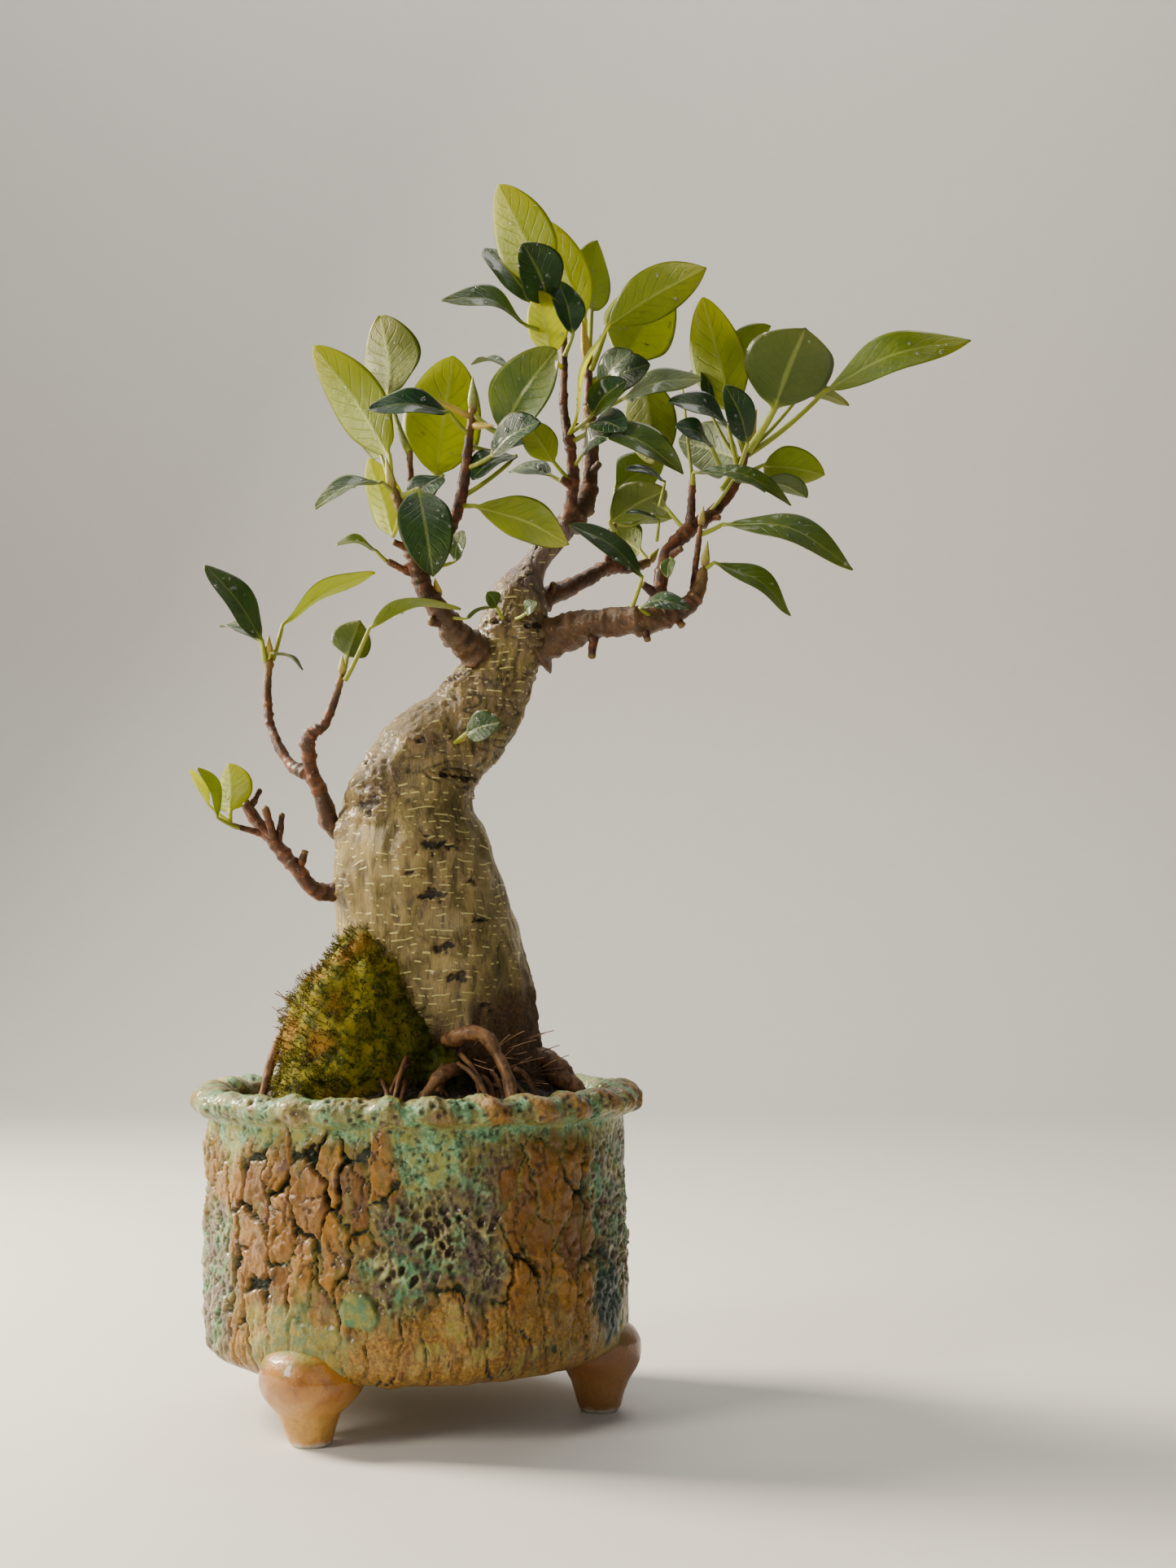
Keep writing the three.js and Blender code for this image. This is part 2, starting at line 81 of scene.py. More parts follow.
def meshObject(name, points, faces):
    mesh = bpy.data.meshes.new(name)
    mesh.from_pydata([tuple(p) for p in points], [], faces)
    mesh.validate()
    mesh.update()
    mesh.shade_smooth()
    piece = bpy.data.objects.new(name, mesh)
    bpy.context.scene.collection.objects.link(piece)
    return piece


def addFloats(piece, name, values):
    layer = piece.data.attributes.new(name, "FLOAT", "POINT")
    layer.data.foreach_set("value", np.asarray(values, dtype=np.float32))


def stripFaces(rings, sides, closedLoop=False):
    # quads between rings of equal size, wound outwards for rings that climb
    faces = []
    last = rings if closedLoop else rings - 1
    for i in range(last):
        a = i * sides
        b = ((i + 1) % rings) * sides
        for j in range(sides):
            k = (j + 1) % sides
            faces.append((a + j, a + k, b + k, b + j))
    return faces


def cappedFaces(rings, sides):
    # the same with both ends closed
    faces = stripFaces(rings, sides)
    faces.append(tuple(reversed(range(sides))))
    faces.append(tuple(range((rings - 1) * sides, rings * sides)))
    return faces


def splinePoint(points, t):
    # a smooth curve through every row, t from 0 to 1
    count = len(points) - 1
    spot = min(t * count, count - 1e-6)
    i = int(spot)
    u = spot - i
    p1, p2 = points[i], points[i + 1]
    p0 = points[i - 1] if i > 0 else 2 * p1 - p2
    p3 = points[i + 2] if i + 2 <= count else 2 * p2 - p1
    bend = 0.5 * ((p2 - p0) * u + (2 * p0 - 5 * p1 + 4 * p2 - p3) * u * u
                  + (3 * p1 - p0 - 3 * p2 + p3) * u ** 3)
    return p1 + bend


def routeFrames(stations, steps):
    # centres, radii, two cross directions and the length so far, along a route in millimetres
    rows = np.array(stations, dtype=float)
    path = [splinePoint(rows, i / steps) for i in range(steps + 1)]
    centres = [Vector(row[:3]) for row in path]
    radii = [max(0.05, row[3]) for row in path]
    sides = []
    tangents = []
    for i in range(steps + 1):
        ahead = centres[min(i + 1, steps)] - centres[max(i - 1, 0)]
        tangents.append(ahead.normalized())
    side = Vector((1, 0, 0))
    if abs(tangents[0].x) > 0.9:
        side = Vector((0, 1, 0))
    for tangent in tangents:
        side = (side - tangent * side.dot(tangent)).normalized()
        sides.append(side.copy())
    others = [t.cross(s) for t, s in zip(tangents, sides)]
    runs = [0.0]
    for a, b in zip(centres, centres[1:]):
        runs.append(runs[-1] + (b - a).length)
    return centres, radii, sides, others, runs


def joinMeshes(name, parts):
    # one object from many, with their attributes kept
    bpy.ops.object.select_all(action="DESELECT")
    for part in parts:
        part.select_set(True)
    bpy.context.view_layer.objects.active = parts[0]
    if len(parts) > 1:
        bpy.ops.object.join()
    whole = bpy.context.view_layer.objects.active
    whole.name = name
    whole.data.name = name
    return whole


def finishPiece(piece, material, nodes=()):
    piece.data.materials.clear()
    piece.data.materials.append(material)
    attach(piece, "root")
    if nodes:
        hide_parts(*nodes)
    return piece


class Wire:
    # one socket of a node tree; sums on it add Math nodes

    def __init__(self, board, socket):
        self.board = board
        self.socket = socket

    def sum(self, operation, *values):
        node = self.board.add("ShaderNodeMath", {"operation": operation}, dict(enumerate(values)))
        return node.out(0)

    def __add__(self, other):
        return self.sum("ADD", self, other)

    __radd__ = __add__

    def __sub__(self, other):
        return self.sum("SUBTRACT", self, other)

    def __rsub__(self, other):
        return self.sum("SUBTRACT", other, self)

    def __mul__(self, other):
        return self.sum("MULTIPLY", self, other)

    __rmul__ = __mul__

    def clamp(self):
        return self.sum("MINIMUM", self.sum("MAXIMUM", self, 0.0), 1.0)

    def step(self, low, high):
        settings = {"interpolation_type": "SMOOTHSTEP"}
        values = {"Value": self, "From Min": low, "From Max": high}
        return self.board.add("ShaderNodeMapRange", settings, values).out("Result")


class Placed:
    # a node that has been added, whose outputs are asked for by name or number

    def __init__(self, board, node):
        self.board = board
        self.node = node

    def out(self, key=0):
        return Wire(self.board, self.node.outputs[key])


class Board:
    # a node tree being wired

    def __init__(self, tree):
        self.tree = tree

    def add(self, kind, settings=None, values=None):
        node = self.tree.nodes.new(kind)
        for key, value in (settings or {}).items():
            setattr(node, key, value)
        for key, value in (values or {}).items():
            if isinstance(value, Wire):
                self.tree.links.new(value.socket, node.inputs[key])
            else:
                node.inputs[key].default_value = value
        return Placed(self, node)

    def mix(self, factor, first, second):
        node = self.add("ShaderNodeMix", {"data_type": "RGBA"})
        plugs = {i.identifier: i for i in node.node.inputs}
        rows = (("Factor_Float", factor), ("A_Color", first), ("B_Color", second))
        for key, value in rows:
            if isinstance(value, Wire):
                self.tree.links.new(value.socket, plugs[key])
            elif key == "Factor_Float":
                plugs[key].default_value = value
            else:
                plugs[key].default_value = (*value, 1)
        outs = {o.identifier: o for o in node.node.outputs}
        return Wire(self, outs["Result_Color"])

    def float(self, name):
        return self.add("ShaderNodeAttribute", {"attribute_name": name}).out("Fac")

    def objectSpot(self):
        return self.add("ShaderNodeTexCoord").out("Object")

    def stretch(self, spot, scale):
        settings = {"operation": "MULTIPLY"}
        return self.add("ShaderNodeVectorMath", settings, {0: spot, 1: scale}).out(0)

    def noise(self, spot, scale, detail=4.0, roughness=0.55, distortion=0.0):
        values = {"Vector": spot, "Scale": scale, "Detail": detail,
                  "Roughness": roughness, "Distortion": distortion}
        return self.add("ShaderNodeTexNoise", None, values).out("Fac")

    def cells(self, spot, scale):
        values = {"Vector": spot, "Scale": scale}
        return self.add("ShaderNodeTexVoronoi", None, values).out("Distance")

    def bump(self, height, distance, strength=1.0):
        values = {"Height": height, "Distance": distance, "Strength": strength}
        return self.add("ShaderNodeBump", None, values).out("Normal")


def newMaterial(name):
    material = bpy.data.materials.new(name)
    material.use_nodes = True
    material.node_tree.nodes.clear()
    return material, Board(material.node_tree)


def principled(board, values):
    return board.add("ShaderNodeBsdfPrincipled", None, values).out("BSDF")


def outputShader(board, shader):
    board.add("ShaderNodeOutputMaterial", None, {"Surface": shader})


# pot: wall, rolled rim and inside are one turned skin with the glaze's relief, in millimetres
# from the table
pot = {
    "underside": 17.5, "floor": 25.5, "wall": 66, "neck": 65, "inside": 59, "soil": 95.5,
    "drain": 8, "rollAcross": 64.8, "rollHeight": 96.1, "footCircle": 58, "columns": 640,
    "lumps": 28,
}
# each foot: degrees round the axis and widest radius
feetSpots = [(-117, 15.0), (-7, 12.0), (141, 13.0)]


def potProfile():
    # radius, height, share of the wall's relief and place across the rim, from the drain round
    # to it again
    wall, under = pot["wall"], pot["underside"]
    rows = [(r, under, 0, 0) for r in (pot["drain"], 30, 50)]
    for i in range(1, 13):  # rounded lower corner
        t = i / 12
        a, b, c = (1 - t) ** 2, 2 * t * (1 - t), t * t
        rows.append((a * 55 + (b + c) * wall, (a + b) * under + c * 28.5, smooth(0.1, 0.8, t), 0))
    for i in range(1, 97):
        t = i / 96
        rows.append((lerp(wall, pot["neck"], t), lerp(28.5, 91.0, t), 1, 0))
    for i in range(1, 31):  # round the rolled edge, from under it to the inside
        t = i / 30
        turn = math.radians(lerp(-68, 205, t))
        rows.append((pot["rollAcross"] + 5.5 * math.cos(turn),
                     pot["rollHeight"] + 4.0 * math.sin(turn), 1 - t * 0.4, t))
    rows += [(pot["inside"], z, 0, 0) for z in (88, 76, 60, 40, 27)]
    rows += [(r, pot["floor"], 0, 0) for r in (57, 30, pot["drain"])]
    return rows


def ramp(low, high, values):
    share = np.clip((values - low) / (high - low), 0, 1)
    return share * share * (3 - 2 * share)


def between(low, high, edge, values):
    return ramp(low - edge, low + edge, values) * (1 - ramp(high - edge, high + edge, values))


def noiseOver(spots, size, seed=0.0, octaves=0):
    # one noise value for each row of spots, in millimetres, with lumps of that size
    grid = spots / np.asarray(size, dtype=float) + np.array((seed, -2 * seed, 3 * seed))
    if octaves:
        return np.array([noise.fractal(Vector(p), 0.8, 2.1, octaves) for p in grid])
    return np.array([noise.noise(Vector(p)) for p in grid])


def wrappedCells(run, height, around, wide, tall, seed, power=2.0, jitter=0.8):
    # cells on a band that closes on itself: distance to the centre, to the border, and a tone
    count = max(3, round(around / wide))
    across, up = run / around * count, height / tall
    chance = np.random.default_rng(seed)
    rows = 64
    shift = chance.uniform(-0.5, 0.5, (count, rows, 2)) * jitter
    tones = chance.uniform(0, 1, (count, rows))
    baseX, baseY = np.floor(across).astype(int), np.floor(up).astype(int)
    first = np.full(run.shape, 9.0)
    second = np.full(run.shape, 9.0)
    tone = np.zeros(run.shape)
    for i in (-1, 0, 1):
        for j in (-1, 0, 1):
            cx, cy = baseX + i, baseY + j
            move = shift[cx % count, cy % rows]
            stagger = 0.5 * (cx % 2)
            dx = np.abs(cx + 0.5 + move[..., 0] - across)
            dy = np.abs(cy + 0.5 + move[..., 1] + stagger - 0.25 - up)
            away = (dx ** power + dy ** power) ** (1 / power)
            closer = away < first
            second = np.where(closer, first, np.minimum(second, away))
            tone = np.where(closer, tones[cx % count, cy % rows], tone)
            first = np.where(closer, away, first)
    return first, second - first, tone


def glazeRelief(angle, height, spots):
    # relief in millimetres and the masks of the glaze, over the wall
    around = 2 * math.pi * pot["wall"]
    run = pot["wall"] * angle + math.pi * pot["wall"]
    slow = noiseOver(spots, (22, 22, 30), 3.0)
    mid = noiseOver(spots, (9, 9, 11), 4.0)
    fine = noiseOver(spots, 2.6, 6.0, 3)
    tiny = noiseOver(spots, 1.1, 2.0)
    spot = np.degrees(angle) + 11 * slow + 6 * mid + 3.5 * noiseOver(spots, 3.4, 17.0)
    level = height + 9 * mid + 8 * slow
    # where the glaze has bubbled: the middle, the low left, the right edge and two places behind
    lean = 0.16 * (height - 60)
    bubbled = between(-4, 27, 3.5, spot - lean) * ramp(40, 52, level + 0.5 * abs(spot - 12))
    lowLeft = between(-96, -52, 3, spot) * (1 - ramp(58, 70, level)) * ramp(16, 24, level)
    for zone in (lowLeft, between(58, 96, 3, spot) * ramp(32, 42, level),
                 between(128, 158, 4, spot) * ramp(42, 50, level), between(-162, -130, 4, spot)):
        bubbled = np.maximum(bubbled, zone)
    low = (1 - ramp(32, 42, level)) * (1 - bubbled)
    calm = between(30, 50, 3, spot) * ramp(50, 60, level)
    # plates like old bark: staggered upright blocks
    bend = 3.4 * noiseOver(spots, (9, 9, 13), 1.0) + 1.2 * noiseOver(spots, 3.4, 7.0)
    bend = bend + 0.7 * noiseOver(spots, 1.5, 33.0)
    rise = 3.6 * noiseOver(spots, (10, 10, 9), 5.0) + 1.6 * noiseOver(spots, 3.0, 9.0)
    rise = rise + 1.0 * noiseOver(spots, 1.5, 35.0)
    column = (run + bend) % around
    edge, tone = wrappedCells(column, height + rise, around, 8.6, 22, 3, 3.6, 0.85)[1:]
    edgeB, toneB = wrappedCells(column, height - rise, around, 4.4, 9.0, 8, 3.0, 0.95)[1:]
    patchy = noiseOver(spots, (15, 15, 20), 8.0)
    gaping = ramp(-0.12, 0.30, patchy + 0.35 * between(-58, -8, 12, np.degrees(angle)) - 0.12)
    gap = (0.016 + 0.085 * gaping) * (1 - 0.5 * np.maximum(low, calm))
    crack = (1 - ramp(0.25 * gap, gap + 0.03, edge)) * (1 - bubbled)
    broken = ramp(-0.1, 0.2, noiseOver(spots, (11, 11, 16), 14.0))
    crack *= 1 - 0.75 * np.maximum(low, calm) * broken
    splits = (1 - ramp(0.02, 0.10, edgeB)) * ramp(-0.15, 0.2, noiseOver(spots, (7, 7, 12), 12.0))
    splits *= (1 - bubbled) * (1 - 0.5 * low)
    block = ramp(0.0, 0.11, edge)
    step = ramp(0.0, 0.10, edgeB) * toneB
    wear = noiseOver(spots, 4.5, 15.0, 3)
    plates = block * (0.35 + 1.0 * tone + 0.7 * step) - 2.0 * crack * gaping - 0.7 * crack
    plates = plates - 0.7 * splits + 0.60 * wear + 0.22 * noiseOver(spots, 1.4, 37.0)
    plates = plates * (1 - 0.45 * np.maximum(low, calm))
    # bubbles: a net of thin walls round open holes, finer and shallower towards the rim
    deep = 1 - 0.9 * ramp(62, 80, level)
    warpX = 1.0 * noiseOver(spots, 4.0, 21.0) + 0.35 * noiseOver(spots, 1.5, 23.0)
    wavy = (run + warpX) % around
    bigNear, bigEdge, bigTone = wrappedCells(wavy, height + warpX, around, 3.2, 3.4, 5, 2, 1.0)
    smallNear, smallEdge, smallTone = wrappedCells(wavy, height, around, 1.9, 2.0, 6, 2, 1.0)
    cluster = ramp(-0.2, 0.15, noiseOver(spots, (8, 8, 8), 41.0))
    hole = 1 - ramp(0.10 + 0.22 * bigTone, 0.26 + 0.30 * bigTone, bigNear)
    hole = hole * ramp(0.10, 0.3, bigTone) * deep * (0.35 + 0.65 * cluster)
    holeB = (1 - ramp(0.14, 0.36, smallNear)) * ramp(0.45, 0.7, smallTone)
    net = np.maximum((1 - ramp(0.04, 0.28, bigEdge)) * cluster,
                     0.6 * (1 - ramp(0.05, 0.25, smallEdge)))
    net = net * (0.30 + 0.70 * ramp(-0.15, 0.25, noiseOver(spots, (6, 6, 8), 43.0)))
    pit = np.maximum(hole, 0.75 * holeB) * bubbled
    froth = bubbled * (0.5 + 0.8 * net * deep - 1.7 * hole - 0.7 * holeB + 0.5 * wear)
    dusk = ramp(6, 17, spot) * (1 - ramp(33, 40, spot)) * (1 - ramp(74, 84, level))
    chalk = between(-100, -54, 5, spot) * (1 - ramp(56, 66, level))
    relief = plates * (1 - bubbled) + froth
    relief = relief + 0.9 * slow + 0.5 * mid + 0.20 * fine + 0.08 * tiny - 0.4
    return relief, {
        "crack": crack, "split": splits, "tone": tone, "bubbled": bubbled, "pit": pit,
        "low": low, "calm": calm, "net": net * bubbled, "block": block * (1 - bubbled),
        "dusk": dusk, "chalk": chalk,
    }


def spotAway(angle, height, centre, level, radius):
    turn = (angle - math.radians(centre) + math.pi) % (2 * math.pi) - math.pi
    return np.hypot(pot["wall"] * turn, height - level) / radius


def buildPotWall():
    profile = np.array(potProfile())
    columns, wall = pot["columns"], pot["wall"]
    t = 2 * np.arange(columns) / columns - 1
    turns = math.pi * (0.62 * t + 0.38 * t ** 3)  # columns crowd to the front
    angle = np.tile(turns, len(profile))
    radius, height, share, across = (np.repeat(profile[:, k], columns) for k in range(4))
    x, y = np.sin(angle), -np.cos(angle)
    ring = np.column_stack((wall * x, wall * y, height))
    degrees = np.degrees(angle)
    relief, masks = glazeRelief(angle, height, ring)
    wobble = noiseOver(ring, (8, 8, 900), 6.0)
    wobbleB = noiseOver(ring, (3.2, 3.2, 900), 2.0)
    # mint that has run down from the rim, and the olive glaze below its drips
    reach = 0.2 + 8 * wobble + 3.0 * wobbleB
    reach += 7 * between(-58, -42, 5, degrees) + 15 * between(-1, 15, 4, degrees)
    run = ramp(-4.0, 0.5, height - 91 + reach)
    stain = ramp(-12, -1, height - 91 + reach + 5 * wobbleB) * (1 - run)
    relief = relief * (1 - 0.5 * run * (1 - masks["bubbled"]))
    masks["crack"] *= 1 - 0.6 * run
    # a round drop of green glaze and the pools over the feet
    blobNoise = noiseOver(ring, 5.0, 4.0)
    drop = 1 - ramp(0.85, 1.05, spotAway(angle, height, -10.3, 40.2, 5.8) + 0.45 * blobNoise)
    pool = drop.copy()
    smoothed = drop.copy()
    for centre, bulb in feetSpots:
        away = spotAway(angle, height, centre + 90, 26, bulb * 1.15) + 0.5 * blobNoise
        over = 1 - ramp(0.7, 1.15, away)
        smoothed = np.maximum(smoothed, 0.75 * over)
        pool = np.maximum(pool, 0.7 * over)
    relief = relief * (1 - 0.85 * smoothed) + smoothed * (0.9 + 0.5 * drop)
    masks["crack"] *= 1 - 0.85 * smoothed
    masks["split"] *= 1 - smoothed
    teal = 1 - ramp(0.6, 1.05, spotAway(angle, 0.6 * height, 66, 0.6 * 38, 9.5) + 0.5 * blobNoise)
    hem = (0.9 * wobble + 0.6 * wobbleB) * (1 - ramp(19, 28, height))
    push = share * (relief + hem) * (1 - 0.6 * ramp(86, 91, height))
    raised = 1.0 * wobble * (1 - ramp(17.5, 22, height)) * (share > 0)
    # the rim: a lumpy roll pinched by hand, with slanting lumps
    onRim = across > 0
    curl = np.column_stack((wall * x, wall * y, 14 * across))
    phase = 1.6 * noiseOver(curl, (24, 24, 30), 1.0) + 0.9 * noiseOver(curl, (11, 11, 20), 3.0)
    slant = np.where(degrees > 0, 4.2, 2.0)
    rope = np.cos(pot["lumps"] * angle + slant * across + phase)
    strength = 0.15 + 0.7 * ramp(-0.35, 0.35, noiseOver(curl, (17, 17, 40), 4.0))
    strength = np.maximum(strength, 0.9 * ramp(0, 22, degrees) * (1 - ramp(100, 130, degrees)))
    lump = noiseOver(curl, 6.5, 5.0)
    grit = noiseOver(curl, 2.2, 8.0, 3)
    body = 1 - ramp(0.82, 1.0, across)
    rimPush = body * (1.0 * rope * strength + 1.5 * lump + 0.60 * grit)
    rimNear, _, rimTone = wrappedCells(wall * angle + math.pi * wall, 20 * across,
                                       2 * math.pi * wall, 3.0, 3.0, 12)
    rimHole = (1 - ramp(0.16, 0.34, rimNear)) * ramp(0.45, 0.6, rimTone)
    rimPush -= 0.8 * rimHole * body
    spot = np.radians(-68 + 273 * across)
    push = np.where(onRim, rimPush * np.cos(spot), push)
    raised = np.where(onRim, rimPush * np.sin(spot) * 0.85, raised)
    crest = ramp(-0.25, 0.35, rope + 0.6 * lump) * between(0.08, 0.56, 0.08, across)
    onRight = ramp(-4, 26, degrees) * (1 - ramp(110, 140, degrees))
    leftEnd = between(-100, -70, 9, degrees) * ramp(0.0, 0.2, across)
    scattered = ramp(-0.05, 0.25, noiseOver(curl, (9, 9, 16), 9.0))
    warm = np.maximum(crest * np.maximum(onRight, 0.35 * scattered), 0.5 * leftEnd * scattered)
    masks["warm"] = np.where(onRim, warm, 0.0)
    masks["mint"] = np.where(onRim, 0.75 + 0.9 * noiseOver(curl, 5, 2.0), run)
    masks["pit"] = np.where(onRim, rimHole * body, masks["pit"])
    masks["bubbled"] = np.where(onRim, 0.6, masks["bubbled"])
    masks["net"] = np.where(onRim, ramp(-0.1, 0.4, lump), masks["net"])
    for name in ("crack", "split", "low", "calm", "block", "dusk", "chalk"):
        masks[name] = np.where(onRim, 0.0, masks[name])
    masks["roll"] = onRim * 1.0
    masks["stain"] = np.where(onRim, 0.0, stain)
    masks["pool"] = np.where(onRim, 0.0, pool)
    masks["teal"] = np.where(onRim, 0.0, teal)
    inside = (share == 0) & (across == 0)
    masks["inner"] = np.where(inside & (height > 18), 1.0, ramp(0.84, 1.0, across))
    push = np.where(inside & (radius > 50), 0.4 * lump, push)
    reachOut = radius + push
    points = np.column_stack((reachOut * x, reachOut * y, height + raised - pot["soil"]))
    faces = stripFaces(len(profile), columns, True)
    piece = meshObject("pot_wall", [place(*p) for p in points], faces)
    for name, values in masks.items():
        addFloats(piece, name, values)
    return piece


def footRadius(height, widest):
    # a tapering foot under a domed shoulder that melts into the wall
    cone = lerp(6.0, 11.6, min(1.0, height / 17.5) ** 0.8)
    away = (height - 19.5) / (11.0 if height < 19.5 else 9.8)
    dome = widest * math.sqrt(max(0.0, 1 - away * away))
    if height > 19.5:
        cone = min(cone, dome)
    return (cone ** 5 + dome ** 5) ** 0.2 - 0.3


def buildFeet():
    feet = []
    sides, rows = 60, 46
    for number, (centre, widest) in enumerate(feetSpots):
        turn = math.radians(centre)
        cx, cy = pot["footCircle"] * math.cos(turn), pot["footCircle"] * math.sin(turn)
        points, warmth, bare, pool = [], [], [], []
        for j in range(rows):
            t = j / (rows - 1)
            z = 0.0 if j == 0 else 29.0 * (t ** 0.9)
            r = 5.4 if j == 0 else footRadius(z, widest)
            for i in range(sides):
                around = 2 * math.pi * i / sides
                x, y = math.cos(around), math.sin(around)
                bump = 0.9 * wander(1.3 * x + number * 5, 1.3 * y, z / 12) * smooth(0, 5, z)
                bump += 0.20 * rough(4 * x + number, 4 * y, z / 3.5, 3) * smooth(0, 3, z)
                points.append(place(cx + (r + bump) * x, cy + (r + bump) * y, z - pot["soil"]))
                warmth.append(smooth(9, 18, z + 4 * wander(1.6 * x, 1.6 * y, 1.0, number)))
                bare.append(1 - smooth(0.5, 2.0, z + 0.9 * wander(3 * x, 3 * y, 2.0)))
                pool.append(smooth(20, 25, z + 4 * wander(1.5 * x, 1.5 * y, 4.0, number)))
        foot = meshObject(f"pot_foot_{number}", points, cappedFaces(rows, sides))
        paintedShade = [1.0 if number == 1 else 0.0] * len(points)  # the right foot gets painted shade, darker and browner
        for key, values in (("warm", warmth), ("bare", bare), ("pool", pool), ("paintedShade", paintedShade)):
            addFloats(foot, key, values)
        feet.append(foot)
    return joinMeshes("pot_feet", feet)


glazeColours = {
    "brown": (0.145, 0.057, 0.003), "amber": (0.34, 0.155, 0.005), "dark": (0.012, 0.009, 0.004),
    "mint": (0.060, 0.185, 0.082), "pale": (0.27, 0.46, 0.24), "purple": (0.065, 0.034, 0.024),
    "olive": (0.125, 0.105, 0.010), "ochre": (0.36, 0.20, 0.025), "deep": (0.008, 0.028, 0.012),
    "inside": (0.12, 0.12, 0.07), "cream": (0.46, 0.42, 0.16), "lime": (0.26, 0.25, 0.035),
    "chalk": (0.50, 0.50, 0.33), "rust": (0.105, 0.035, 0.005),
}


def glazeMaterial():
    material, board = newMaterial("runny_green_and_brown_glaze")
    spot = board.objectSpot()
    names = ("crack", "split", "tone", "bubbled", "pit", "low", "calm", "net", "block", "mint",
             "roll", "warm", "stain", "pool", "teal", "inner", "dusk", "chalk")
    mark = {name: board.float(name) for name in names}
    c = glazeColours
    fine = board.noise(spot, 950, 5, 0.7)
    patch = board.noise(spot, 130, 4, 0.65, 0.5)
    drift = board.noise(board.stretch(spot, (1, 1, 0.3)), 210, 4, 0.65, 0.4)
    blots = board.noise(spot, 330, 4, 0.6, 0.3)
    # brown plates, some olive or purple, darker down their sides, with yellow green seams; the dark
    # down the sides is partly painted shade
    plate = board.mix((mark["tone"] * 0.9 + fine * 0.9 - 0.45).clamp(), c["brown"], c["amber"])
    plate = board.mix(blots.step(0.50, 0.64) * 0.6, plate, c["rust"])
    plate = board.mix(drift.step(0.54, 0.64) * 0.8, plate, c["olive"])
    plate = board.mix(patch.step(0.55, 0.68) * 0.7, plate, c["purple"])
    plate = board.mix(mark["calm"] * 0.6, plate, c["brown"])
    seam = board.mix(blots.step(0.42, 0.58), c["olive"], c["lime"])
    seam = board.mix(fine.step(0.50, 0.62) * 0.6, seam, c["dark"])
    plate = board.mix((1 - mark["block"]) * 0.85, plate, seam)
    lower = board.mix(fine.step(0.35, 0.65), c["brown"], c["ochre"])
    lower = board.mix(patch.step(0.50, 0.64) * 0.6, lower, c["lime"])
    lower = board.mix(blots.step(0.50, 0.66) * 0.6, lower, c["olive"])
    lower = board.mix(drift.step(0.56, 0.66) * 0.6, lower, c["rust"])
    plate = board.mix(mark["low"], plate, lower)
    # bubbled glaze: dark between pale walls
    ground = board.mix(patch.step(0.40, 0.54), c["mint"], c["purple"])
    ground = board.mix(blots.step(0.48, 0.60) * 0.7, ground, c["olive"])
    ground = board.mix(mark["dusk"] * (1 - blots.step(0.45, 0.62)) * 0.9, ground, c["purple"])
    ground = board.mix(mark["chalk"] * patch.step(0.42, 0.55) * 0.7, ground, (0.10, 0.055, 0.045))
    walls = board.mix(drift.step(0.42, 0.60), c["cream"], c["lime"])
    walls = board.mix((1 - patch.step(0.42, 0.54)) * 0.85, walls, c["pale"])
    walls = board.mix(mark["chalk"] * blots.step(0.40, 0.55) * 0.7, walls, c["chalk"])
    froth = board.mix((mark["net"] * 1.0 + fine * 0.7 - 0.40).clamp(), ground, walls)
    skin = board.mix(mark["bubbled"], plate, froth)
    # glaze that has run from the rim
    mintTone = board.mix(fine.step(0.38, 0.68), c["mint"], c["pale"])
    mintTone = board.mix(patch.step(0.44, 0.56) * 0.85, mintTone, c["lime"])
    mintTone = board.mix(blots.step(0.53, 0.66) * 0.85, mintTone, c["deep"])
    skin = board.mix(mark["stain"] * blots.step(0.30, 0.55) * 0.85, skin, c["olive"])
    skin = board.mix(mark["mint"].clamp() * 0.93, skin, mintTone)
    rope = board.mix(fine.step(0.3, 0.7), c["brown"], c["amber"])
    rope = board.mix(drift.step(0.52, 0.66) * 0.7, rope, c["lime"])
    rope = board.mix(blots.step(0.54, 0.68) * 0.7, rope, c["purple"])
    lumps = mark["roll"] * patch.step(0.50, 0.60)
    skin = board.mix(lumps * 0.7, skin, board.mix(blots.step(0.46, 0.62), c["purple"], c["cream"]))
    skin = board.mix(mark["roll"] * drift.step(0.52, 0.62) * 0.7, skin, c["olive"])
    skin = board.mix(mark["warm"].clamp() * 0.92, skin, rope)
    poolTone = board.mix(blots.step(0.35, 0.62), c["lime"], c["mint"])
    skin = board.mix(mark["pool"] * 0.85, skin, poolTone)
    skin = board.mix(mark["teal"] * 0.92, skin, (0.018, 0.050, 0.040))
    # near black in the splits, cracks and bubble holes: partly the glaze's own dark, partly painted
    # shade in these recesses
    skin = board.mix(mark["split"] * 0.75, skin, c["dark"])
    gap = board.mix(patch, c["dark"], c["deep"])
    skin = board.mix(mark["crack"].step(0.1, 0.7) * 0.95, skin, gap)
    skin = board.mix(mark["pit"] * 0.92, skin, board.mix(patch, c["dark"], c["purple"]))
    skin = board.mix(mark["inner"], skin, c["inside"])
    height = fine * 0.6 + board.noise(spot, 2600, 3) * 0.25
    shader = principled(board, {
        "Base Color": skin,
        "Roughness": (fine * 0.45 + mark["crack"] * 0.3 + mark["inner"] * 0.3 + 0.16).clamp(),
        "Coat Weight": (patch.step(0.35, 0.6) * 0.35 - mark["inner"] * 0.5 + 0.10).clamp(),
        "Coat Roughness": 0.06, "IOR": 1.42, "Specular IOR Level": 0.4,
        "Normal": board.bump(height, 0.0010, 0.8),
    })
    outputShader(board, shader)
    return material


